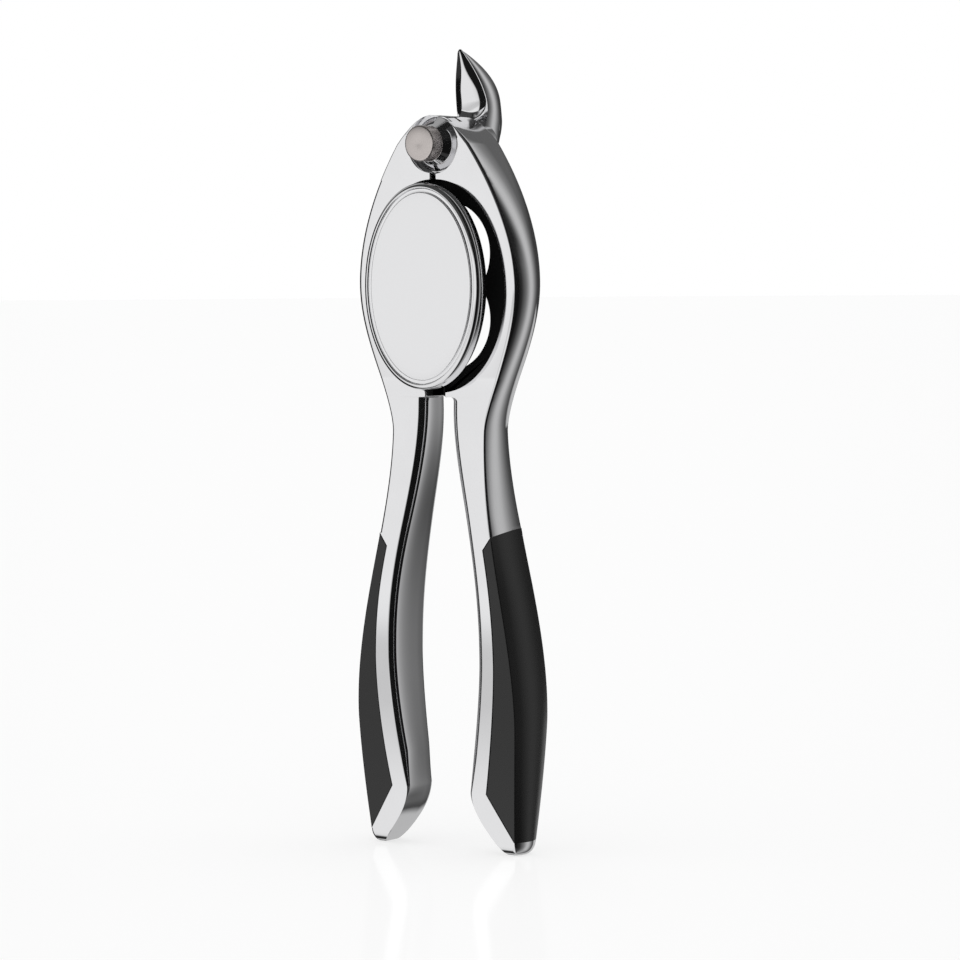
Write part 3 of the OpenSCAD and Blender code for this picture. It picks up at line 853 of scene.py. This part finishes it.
def lip_rings(nose_x):
    """Rubber lip on the end of a nose."""
    rings = []
    low = NOSE_Z + LIP_GAP
    high = low + LIP_H
    edge = LIP_EDGE_R
    right = nose_x + LIP_T - SEAT_GAP
    for inset, z in ((edge, low), (0.0, low + edge), (0.0, high - edge), (edge, high)):
        left = nose_x + inset
        back = LIP_D / 2 - inset
        corners = [
            (left, -back, edge),
            (right, -back, LIP_SEAT_R),
            (right, back, LIP_SEAT_R),
            (left, back, edge),
        ]
        rings.append(ring(z, corners))
    return rings


right_liner = solid("right_liner_rubber", [liner_rings(NOSE_RIGHT_X), lip_rings(NOSE_RIGHT_X)])
left_liner = solid("left_liner_rubber", [liner_rings(NOSE_LEFT_X), lip_rings(NOSE_LEFT_X)], mirror=True)


# Cover disc

def disc_cup_rings():
    """Rings of the cup from the middle of its back, round the rim and into the groove."""
    groove = RIM_ROUND
    floor_y = DISC_FRONT_Y + PLATE_T - PLATE_GAP
    profile = [(DISC_MID, DISC_BACK_Y)]
    for a in (0, 30, 60, 90):
        c = math.radians(a)
        profile.append((DISC_BACK_R * (1 - math.sin(c)), DISC_BACK_Y - DISC_BACK_R * (1 - math.cos(c))))
    for a in range(0, 91, 10):
        c = math.radians(a)
        profile.append((RIM_ROUND * (1 - math.cos(c)), DISC_FRONT_Y + RIM_ROUND * (1 - math.sin(c))))
    profile += [
        (groove + 0.1, DISC_FRONT_Y + 0.05),
        (groove + 0.25, DISC_FRONT_Y + 0.35),
        (groove + 0.35, DISC_FRONT_Y + 0.5),
        (RIM_W + 0.4, DISC_FRONT_Y + 0.55),
        (RIM_W + 2.0, floor_y),
        (DISC_MID, floor_y),
    ]
    return outline_rings(oval_outline(DISC_A, DISC_B, 0, HEAD_Z), profile)


def disc_boss_rings(side):
    """Boss on the cup's back, above or below its middle."""
    profile = [
        (BOSS_R + 0.5, DISC_BACK_Y - 0.3),
        (BOSS_R + 0.15, DISC_BACK_Y + 0.25),
        (BOSS_R, DISC_BACK_Y + 0.7),
        (BOSS_R, LEDGE_Y - 0.25),
        (BOSS_R - 0.2, LEDGE_Y - SEAT_GAP),
    ]
    return lathe_rings(profile, -BOSS_X, HEAD_Z + side * BOSS_PITCH / 2, 48)


def disc_face_rings():
    """Plate in the cup, slightly crowned, with a round edge."""
    inset = RIM_W + PLATE_GAP
    edge_y = DISC_FRONT_Y + 0.05
    profile = [(inset, DISC_FRONT_Y + PLATE_T - 0.15), (inset, DISC_FRONT_Y + 0.35)]
    for a in (0, 30, 60, 90):
        c = math.radians(a)
        in_turn = PLATE_EDGE_R * (1 - math.cos(c))
        profile.append((inset + in_turn, edge_y + PLATE_EDGE_R * (1 - math.sin(c))))
    profile += [(inset + 2.0, DISC_FRONT_Y + 0.03), (inset + 6.5, DISC_FRONT_Y)]
    return outline_rings(oval_outline(DISC_A, DISC_B, 0, HEAD_Z), profile)


disc_cup = solid("disc_cup_rim", [disc_cup_rings(), disc_boss_rings(-1), disc_boss_rings(1)])
disc_face = solid("disc_face_plate", [disc_face_rings()])


# Hinge pin and collar

pin_profile = [
    (0.4, PIN_FACE_Y + 0.06),
    (0.9, PIN_FACE_Y),
    (PIN_HEAD_R - 0.45, PIN_FACE_Y),
    (PIN_HEAD_R - 0.2, PIN_FACE_Y + 0.06),
    (PIN_HEAD_R - 0.05, PIN_FACE_Y + 0.2),
    (PIN_HEAD_R, PIN_FACE_Y + 0.45),
    (PIN_HEAD_R, LUG_FRONT_Y - SEAT_GAP),
    (PIN_R, LUG_FRONT_Y - SEAT_GAP),
    (PIN_R, POCKET_Y + 0.5),
    (PIN_R - PIN_NECK, POCKET_Y + 0.55),
    (PIN_R - PIN_NECK, POCKET_Y + 1.35),
    (PIN_R, POCKET_Y + 1.4),
    (PIN_R, POCKET_Y + 1.75),
    (PIN_R - 0.2, POCKET_Y + 1.96),
]
pin = solid("pivot_pin_turned", [lathe_rings(pin_profile, 0, PIN_Z, 128)], sharp=50)

collar_low = LUG_FRONT_Y - SEAT_GAP
collar_profile = [(PIN_HEAD_R + SEAT_GAP, collar_low - FLARE_H)]
for flare in steps(0.0, 1.0, 14):
    r = PIN_HEAD_R + COLLAR_TOP_W + (COLLAR_R - COLLAR_TOP_W - PIN_HEAD_R) * flare
    collar_profile.append((r, collar_low - COLLAR_FOOT_H - (FLARE_H - COLLAR_FOOT_H) * (1 - flare)))
collar_profile += [(COLLAR_R + COLLAR_LIP, collar_low - 0.12), (COLLAR_R + COLLAR_LIP, collar_low)]
collar = solid("pin_collar_ring", [lathe_rings(collar_profile, 0, PIN_Z, 128)])


# Hook

def hook_front(t):
    return mix(HOOK_FRONT_Y, HOOK_FRONT_Y - HOOK_REACH, t ** HOOK_LEAN_POW)


def dish_points(wall, foot):
    """Points across the hollow (place, depth), as shares of its width: wall, floor and far side."""
    wall_d = wall * WALL_SLOPE
    floor_w = foot - wall
    foot_d = wall_d + floor_w * (FLOOR_IN + FLOOR_OUT) / 2
    far_w = 1 - foot
    end_slope = -2 * foot_d / far_w - FAR_SLOPE
    points = [(wall * q, wall_d * q) for q in steps(0.0, 1.0, 6)]
    for q in steps(0.0, 1.0, 22)[1:]:
        down = FLOOR_IN * q + (FLOOR_OUT - FLOOR_IN) * q * q / 2
        points.append((wall + floor_w * q, wall_d + floor_w * down))
    for q in steps(0.0, 1.0, 14)[1:]:
        down = FAR_SLOPE * q + (end_slope - FAR_SLOPE) * q * q / 2
        points.append((foot + far_w * q, foot_d + far_w * down))
    return points


def quarter(t):
    """Rise from 0 to 1 along a quarter of a circle."""
    return math.sqrt(1 - (1 - t) ** 2)


def hook_hollow(t, left, wide, body_x):
    """Front of a hook section: left rim, hollow and right rim."""
    f = hook_front(t)
    rim = min(LEFT_EDGE_W, 0.2 * left)
    land = min(RIGHT_EDGE_W, 0.15 * wide)
    from_x = mix(BOWL_X, -left + rim, quarter(share(t, BOWL_LOW, BOWL_LOW + BOWL_LEFT_H)))
    to_x = min(body_x - land, mix(BOWL_X, wide, quarter(share(t, BOWL_LOW, BOWL_WIDE))))
    points = [(-left, f + EDGE_DROP), (-left + 0.02, f + 0.1), (-left + 0.5 * rim, f + 0.01)]
    up = smooth(share(t, DISH_FROM, DISH_TO))
    for place, down in dish_points(mix(WALL_LOW, WALL_HIGH, up), mix(FOOT_LOW, FOOT_HIGH, up)):
        fall = share(t - BOWL_END_ROUND * (2 * place - BOWL_END_MID) ** 2, BOWL_LOW, BOWL_FULL)
        points.append((mix(from_x, to_x, place), f + max(0.0, to_x - from_x) * fall * down))
    for k in range(1, 4):
        points.append((mix(to_x, body_x, k / 4), f))
    return points


def hook_side(t, end, body_x):
    """Round right side of a hook section, from the rim to the outline that the camera sees."""
    f = hook_front(t)
    swept = HOOK_SWEEP * (1 - share(t, RIM_FROM, 1.0) ** SWEEP_POW)
    swept -= ROOT_SWEEP * (1 - share(t, 0.0, ROOT_SWEEP_TO)) ** ROOT_SWEEP_POW
    reach = max(0.2, end * swept - VIEW_COS * body_x)
    start = math.radians(mix(SIDE_ROOT_DEG, SIDE_FULL_DEG, smooth(share(t, 0.0, SIDE_TO))))
    r = reach / (1 - math.sin(start - VIEW_TURN))
    points = []
    for a in steps(start, math.pi / 2 + VIEW_TURN, 24):
        x = body_x + r * (math.sin(a) - math.sin(start))
        points.append((x, f + r * (math.cos(start) - math.cos(a))))
    return points


def hook_section(t):
    """Level outline of the hook: a hollow front between two crisp rims, and a round back."""
    end = math.sqrt(max(0.01, 1 - share(t, TIP_FROM, 1.0) ** 2))
    inward = share(t, LEFT_FROM, 1.0)
    left = end * (HOOK_LEFT_W * (1 - inward ** LEFT_POW) + LEFT_TIP_W * inward ** LEFT_TIP_POW)
    wide = end * (HOOK_TIP_X + (HOOK_RIM_X - HOOK_TIP_X) * (1 - share(t, RIM_FROM, 1.0) ** RIM_POW))
    body_x = mix(ROOT_X, wide, smooth(share(t, ROOT_FROM, ROOT_TO)))
    points = hook_hollow(t, left, wide, body_x) + hook_side(t, end, body_x)
    side = Vector(points[-1])
    back = Vector((0, side.y + mix(BACK_ROOT, BACK_FULL, smooth(share(t, 0.0, BACK_TO))) * side.x))
    pull = 0.5 * (back - side).length
    side_pull = side + Vector((-math.sin(VIEW_TURN), math.cos(VIEW_TURN))) * pull
    back_pull = back + Vector((pull, 0))
    for q in steps(0.0, 1.0, 12)[1:-1]:
        p = 1 - q
        bow = side * p ** 3 + side_pull * 3 * p * p * q + back_pull * 3 * p * q * q + back * q ** 3
        points.append(tuple(bow))
    for a in range(0, 90, 5):
        c = math.radians(a)
        points.append((-left * math.sin(c), mix(hook_front(t) + EDGE_DROP, back.y, math.cos(c))))
    return points


def hook_rings():
    rings = []
    heights = steps(0.0, BOWL_LOW, 12) + steps(BOWL_LOW, 0.96, 72)[1:]
    for t in heights + [0.97, 0.98, 0.988, 0.994, 0.998]:
        rings.append([(x, y, PIN_Z + t * HOOK_H) for x, y in hook_section(t)])
    return rings


def carve(piece, other, operation):
    """Join another solid to a piece, or cut it away, for good."""
    step = piece.modifiers.new("carve", "BOOLEAN")
    step.operation = operation
    step.solver = "EXACT"
    step.object = other
    bpy.context.view_layer.update()
    ready = piece.evaluated_get(bpy.context.evaluated_depsgraph_get())
    shaped = bpy.data.meshes.new_from_object(ready)
    piece.modifiers.clear()
    piece.data = shaped
    bpy.data.objects.remove(other)


hub_profile = [
    (0.0, HUB_FRONT_Y),
    (HUB_R - 0.3, HUB_FRONT_Y),
    (HUB_R, HUB_FRONT_Y + 0.3),
    (HUB_R, HUB_BACK_Y - 0.8),
    (HUB_R - 0.12, HUB_BACK_Y - 0.4),
    (HUB_R - 0.4, HUB_BACK_Y - 0.12),
    (HUB_R - 0.8, HUB_BACK_Y),
    (0.0, HUB_BACK_Y),
]
bore_profile = [
    (0.0, HUB_FRONT_Y - 1),
    (PIN_R + RUN_GAP, HUB_FRONT_Y - 1),
    (PIN_R + RUN_GAP, POCKET_Y),
    (POCKET_R, POCKET_Y),
    (POCKET_R, HOOK_BACK_Y + 1),
    (0.0, HOOK_BACK_Y + 1),
]
hook = solid("wire_hook_spoon", [hook_rings()], fine=False)
carve(hook, solid("hub", [lathe_rings(hub_profile, 0, PIN_Z, 96)], fine=False), "UNION")
carve(hook, solid("bore", [lathe_rings(bore_profile, 0, PIN_Z, 96)], fine=False), "DIFFERENCE")
for face in hook.data.polygons:
    face.use_smooth = True
hook.data.set_sharp_from_angle(angle=math.radians(50))
even = hook.modifiers.new("weighted", "WEIGHTED_NORMAL")
even.keep_sharp = True


# Materials

BUMP_M = 0.0001


def shader(name, colour, rough, vary, grain, bump, tint, metallic=1.0, specular=0.5):
    """Procedural material: a fine noise varies its colour and roughness and gives the bump."""
    mat = bpy.data.materials.new(name)
    mat.use_nodes = True
    nodes = mat.node_tree.nodes
    links = mat.node_tree.links
    bsdf = nodes["Principled BSDF"]
    bsdf.inputs["Metallic"].default_value = metallic
    bsdf.inputs["Specular IOR Level"].default_value = specular
    coord = nodes.new("ShaderNodeTexCoord")
    noise = nodes.new("ShaderNodeTexNoise")
    noise.inputs["Scale"].default_value = grain
    noise.inputs["Detail"].default_value = 5
    links.new(coord.outputs["Object"], noise.inputs["Vector"])
    level = nodes.new("ShaderNodeMapRange")
    level.inputs["To Min"].default_value = rough - vary
    level.inputs["To Max"].default_value = rough + vary
    links.new(noise.outputs["Fac"], level.inputs["Value"])
    links.new(level.outputs["Result"], bsdf.inputs["Roughness"])
    ramp = nodes.new("ShaderNodeValToRGB")
    ramp.color_ramp.elements[0].position = 0.3
    ramp.color_ramp.elements[1].position = 0.7
    ramp.color_ramp.elements[0].color = [c * (1 - tint) for c in colour] + [1]
    ramp.color_ramp.elements[1].color = [min(1.0, c * (1 + tint)) for c in colour] + [1]
    links.new(noise.outputs["Fac"], ramp.inputs["Fac"])
    links.new(ramp.outputs["Color"], bsdf.inputs["Base Color"])
    relief = nodes.new("ShaderNodeBump")
    relief.inputs["Strength"].default_value = bump
    relief.inputs["Distance"].default_value = BUMP_M
    links.new(noise.outputs["Fac"], relief.inputs["Height"])
    links.new(relief.outputs["Normal"], bsdf.inputs["Normal"])
    return mat


chrome = shader(
    "polished_chrome", (0.80, 0.80, 0.81),
    rough=0.07, vary=0.015, grain=160, bump=0.004, tint=0.01,
)
satin = shader(
    "satin_plate", (0.86, 0.86, 0.87),
    rough=0.22, vary=0.02, grain=1400, bump=0.015, tint=0.006,
)
pin_steel = shader(
    "turned_pin", (0.62, 0.575, 0.555),
    rough=0.30, vary=0.05, grain=1500, bump=0.05, tint=0.03,
)
steel = shader(
    "plain_steel", (0.56, 0.56, 0.57),
    rough=0.28, vary=0.05, grain=700, bump=0.04, tint=0.03,
)
bronze = shader(
    "bearing_bronze", (0.58, 0.42, 0.22),
    rough=0.33, vary=0.05, grain=700, bump=0.04, tint=0.04,
)
grip_black = shader(
    "soft_black_grip", (0.0045, 0.0044, 0.0044),
    rough=0.28, vary=0.04, grain=2600, bump=0.10, tint=0.12, metallic=0.0,
)
liner_black = shader(
    "liner_rubber", (0.0035, 0.0035, 0.0035),
    rough=0.6, vary=0.06, grain=1800, bump=0.15, tint=0.15, metallic=0.0, specular=0.12,
)


def dress(piece, mat, body, slot, *nodes):
    """Give a piece its material and body, and hide the nodes it stands for; slot is not used."""
    piece.data.materials.clear()
    piece.data.materials.append(mat)
    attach(piece, body)
    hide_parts(*nodes)


dress(left_arm, chrome, "left_half", "chrome", "left_arm")
dress(right_arm, chrome, "right_half", "chrome", "right_arm")
dress(left_grip, grip_black, "left_half", "grip", "left_grip")
dress(right_grip, grip_black, "right_half", "grip", "right_grip")
dress(left_liner, liner_black, "left_half", "liner", "left_jaw_liner")
dress(right_liner, liner_black, "right_half", "liner", "right_jaw_liner")
dress(disc_cup, chrome, "left_half", "chrome", "disc_cup")
dress(disc_face, satin, "left_half", "disc_satin", "disc_face")
dress(pin, pin_steel, "left_half", "pin_steel", "pivot_pin")
dress(collar, chrome, "left_half", "chrome", "pin_collar")
dress(hook, chrome, "right_half", "chrome", "wire_hook")

carried = {
    "disc_screws": steel,
    "pivot_bush": bronze,
    "thrust_washer": bronze,
    "wave_washer": steel,
    "retaining_clip": steel,
    "hook_dowels": steel,
}
for name, mat in carried.items():
    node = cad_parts[name]
    node.data.materials.clear()
    node.data.materials.append(mat)


# Floor, light and camera

scene = bpy.context.scene
scene.view_settings.view_transform = "Standard"

floor_mesh = bpy.data.meshes.new("floor")
floor_corners = [
    (-FLOOR_HALF, -FLOOR_HALF, 0),
    (FLOOR_HALF, -FLOOR_HALF, 0),
    (FLOOR_HALF, FLOOR_HALF, 0),
    (-FLOOR_HALF, FLOOR_HALF, 0),
]
floor_mesh.from_pydata(floor_corners, [], [(0, 1, 2, 3)])
floor = bpy.data.objects.new("floor", floor_mesh)
scene.collection.objects.link(floor)
floor.location.z = -FLOOR_DROP
floor.visible_glossy = False

floor_mat = bpy.data.materials.new("pale_floor")
floor_mat.use_nodes = True
tree = floor_mat.node_tree
tree.nodes.clear()
out = tree.nodes.new("ShaderNodeOutputMaterial")
diffuse = tree.nodes.new("ShaderNodeBsdfDiffuse")
diffuse.inputs["Color"].default_value = (0.98, 0.98, 0.98, 1)
glow = tree.nodes.new("ShaderNodeEmission")
glow.inputs["Color"].default_value = (1, 1, 1, 1)
glow.inputs["Strength"].default_value = FLOOR_GLOW
gloss = tree.nodes.new("ShaderNodeBsdfGlossy")
gloss.inputs["Color"].default_value = (1, 1, 1, 1)
gloss.inputs["Roughness"].default_value = FLOOR_GLOSS_ROUGH
lit = tree.nodes.new("ShaderNodeMixShader")
lit.inputs["Fac"].default_value = FLOOR_GLOW_SHARE
tree.links.new(diffuse.outputs["BSDF"], lit.inputs[1])
tree.links.new(glow.outputs["Emission"], lit.inputs[2])
sheen = tree.nodes.new("ShaderNodeMixShader")
sheen.inputs["Fac"].default_value = FLOOR_GLOSS_SHARE
tree.links.new(lit.outputs["Shader"], sheen.inputs[1])
tree.links.new(gloss.outputs["BSDF"], sheen.inputs[2])
tree.links.new(sheen.outputs["Shader"], out.inputs["Surface"])
floor.data.materials.append(floor_mat)

# Studio round the object: white for the camera, panels and dark cards for reflections
world = bpy.data.worlds.new("studio")
scene.world = world
world.use_nodes = True
tree = world.node_tree
tree.nodes.clear()
out = tree.nodes.new("ShaderNodeOutputWorld")
coord = tree.nodes.new("ShaderNodeTexCoord")
split = tree.nodes.new("ShaderNodeSeparateXYZ")
tree.links.new(coord.outputs["Generated"], split.inputs["Vector"])
back = tree.nodes.new("ShaderNodeMath")
back.operation = "MULTIPLY"
back.inputs[1].default_value = -1.0
tree.links.new(split.outputs["Y"], back.inputs[0])
turn = tree.nodes.new("ShaderNodeMath")
turn.operation = "ARCTAN2"
tree.links.new(split.outputs["X"], turn.inputs[0])
tree.links.new(back.outputs["Value"], turn.inputs[1])
around = tree.nodes.new("ShaderNodeMapRange")
around.inputs["From Min"].default_value = -math.pi
around.inputs["From Max"].default_value = math.pi
tree.links.new(turn.outputs["Value"], around.inputs["Value"])

# Brightness of the studio by direction: degrees to the right of the front, and level
panels = [
    (-180, 0.045), (-170, 0.05), (-158, 0.05), (-148, 0.22), (-138, 0.22), (-130, 0.01),
    (-66, 0.01), (-56, 0.90), (-46, 0.98), (14, 0.98), (24, 0.80), (33, 0.008), (80, 0.006),
    (92, 0.035), (100, 0.10), (107, 0.17), (113, 0.27), (119, 0.40), (125, 0.53), (131, 0.56),
    (137, 0.52), (143, 0.40), (150, 0.27), (158, 0.155), (167, 0.075), (177, 0.045),
]

# The same for rays that go well upwards
upper_panels = [
    (-180, 0.13), (-140, 0.13), (-130, 0.08), (-112, 0.45), (-76, 0.45), (-66, 0.03),
    (-56, 0.85), (24, 0.80), (36, 0.012), (95, 0.015), (104, 0.05), (110, 0.13), (116, 0.28),
    (121, 0.45), (127, 0.58), (136, 0.58), (146, 0.42), (155, 0.25), (168, 0.13), (180, 0.13),
]

# And for rays that go well downwards, where the pale floor shows
lower_panels = [
    (-180, 0.25), (-150, 0.60), (-106, 0.60), (-98, 0.03), (-68, 0.02), (-58, 0.90),
    (24, 0.90), (36, 0.02), (95, 0.05), (115, 0.30), (130, 0.45), (145, 0.30), (158, 0.15),
    (172, 0.15),
]

# Pale wall behind, seen only by rays that go slightly down
back_glow = [(-180, 0.55), (-152, 0.55), (-142, 0.0), (168, 0.0), (176, 0.55)]

# Which directions count as the front
front_sides = [(-80, 0.0), (-62, 1.0), (40, 1.0), (60, 0.0)]

# Share of the front's brightness by height: from straight down, 0, to straight up, 1
front_heights = [
    (0.0, 0.95), (0.36, 0.95), (0.41, 0.70), (0.444, 0.70), (0.458, 0.96), (0.475, 1.0),
    (0.494, 0.96), (0.515, 0.96), (0.57, 0.95), (0.63, 0.08), (1.0, 0.06),
]

# Heights where the upper panels, the lower panels and the pale wall take over
upper_from = [(0.6, 0.0), (0.7, 1.0)]
lower_to = [(0.14, 1.0), (0.18, 0.0)]
glow_to = [(0.43, 1.0), (0.455, 0.0)]


def ramp_of(stops, source):
    """Colour ramp with grey stops (position, level)."""
    node = tree.nodes.new("ShaderNodeValToRGB")
    while len(node.color_ramp.elements) < len(stops):
        node.color_ramp.elements.new(0.5)
    for element, (position, level) in zip(node.color_ramp.elements, stops):
        element.position = position
        element.color = (level, level, level, 1)
    tree.links.new(source, node.inputs["Fac"])
    return node.outputs["Color"]


def blend_of(kind, factor, first, second):
    """Mix of two colours; a factor or colour is a number or a socket."""
    node = tree.nodes.new("ShaderNodeMix")
    node.data_type = "RGBA"
    node.blend_type = kind
    for place, value in ((0, factor), (6, first), (7, second)):
        if isinstance(value, bpy.types.NodeSocket):
            tree.links.new(value, node.inputs[place])
        elif place == 0:
            node.inputs[0].default_value = value
        else:
            node.inputs[place].default_value = (value, value, value, 1)
    return node.outputs[2]


def by_angle(stops):
    """Level by direction, from stops in degrees."""
    return ramp_of([((angle + 180) / 360, level) for angle, level in stops], around.outputs["Result"])


high = tree.nodes.new("ShaderNodeMapRange")
high.inputs["From Min"].default_value = -1.0
tree.links.new(split.outputs["Z"], high.inputs["Value"])
height = high.outputs["Result"]
round_level = blend_of("MIX", ramp_of(upper_from, height), by_angle(panels), by_angle(upper_panels))
round_level = blend_of("MIX", ramp_of(lower_to, height), round_level, by_angle(lower_panels))
front_share = blend_of("MIX", by_angle(front_sides), 1.0, ramp_of(front_heights, height))
wall_glow = blend_of("MULTIPLY", 1.0, by_angle(back_glow), ramp_of(glow_to, height))
studio = blend_of("LIGHTEN", 1.0, blend_of("MULTIPLY", 1.0, round_level, front_share), wall_glow)
path = tree.nodes.new("ShaderNodeLightPath")
seen = tree.nodes.new("ShaderNodeBackground")
seen.inputs["Color"].default_value = (1, 1, 1, 1)
mirrored = tree.nodes.new("ShaderNodeBackground")
tree.links.new(studio, mirrored.inputs["Color"])
room = tree.nodes.new("ShaderNodeBackground")
room.inputs["Color"].default_value = (1, 1, 1, 1)
room.inputs["Strength"].default_value = ROOM_LEVEL
shiny = tree.nodes.new("ShaderNodeMath")
shiny.operation = "MAXIMUM"
tree.links.new(path.outputs["Is Glossy Ray"], shiny.inputs[0])
tree.links.new(path.outputs["Is Transmission Ray"], shiny.inputs[1])
first = tree.nodes.new("ShaderNodeMixShader")
tree.links.new(shiny.outputs["Value"], first.inputs["Fac"])
tree.links.new(room.outputs["Background"], first.inputs[1])
tree.links.new(mirrored.outputs["Background"], first.inputs[2])
second = tree.nodes.new("ShaderNodeMixShader")
tree.links.new(path.outputs["Is Camera Ray"], second.inputs["Fac"])
tree.links.new(first.outputs["Shader"], second.inputs[1])
tree.links.new(seen.outputs["Background"], second.inputs[2])
tree.links.new(second.outputs["Shader"], out.inputs["Surface"])

# Camera: eye level with the jaw, turned to the right of the front
target = Vector((0, FRAME_Y - VIEW_FORWARD, VIEW_Z)) * MM
eye = target + Vector((math.sin(VIEW_TURN), -math.cos(VIEW_TURN), 0)) * VIEW_DISTANCE * MM
camera_data = bpy.data.cameras.new("camera")
camera_data.sensor_width = SENSOR_MM
camera_data.lens = FOCAL_PX / IMAGE_PX * SENSOR_MM
camera_data.clip_start = 0.05
camera_data.clip_end = 50
camera = bpy.data.objects.new("camera", camera_data)
scene.collection.objects.link(camera)
side_turn = math.atan((IMAGE_PX / 2 - AIM_X) / FOCAL_PX)
down = math.atan((IMAGE_PX / 2 - AIM_Y) / FOCAL_PX)
level_view = Matrix.Rotation(VIEW_TURN, 4, "Z") @ Matrix.Rotation(-side_turn, 4, "Z")
tilt = Matrix.Rotation(math.pi / 2 - down, 4, "X") @ Matrix.Rotation(VIEW_ROLL, 4, "Z")
camera.matrix_world = Matrix.Translation(eye) @ level_view @ tilt
scene.camera = camera
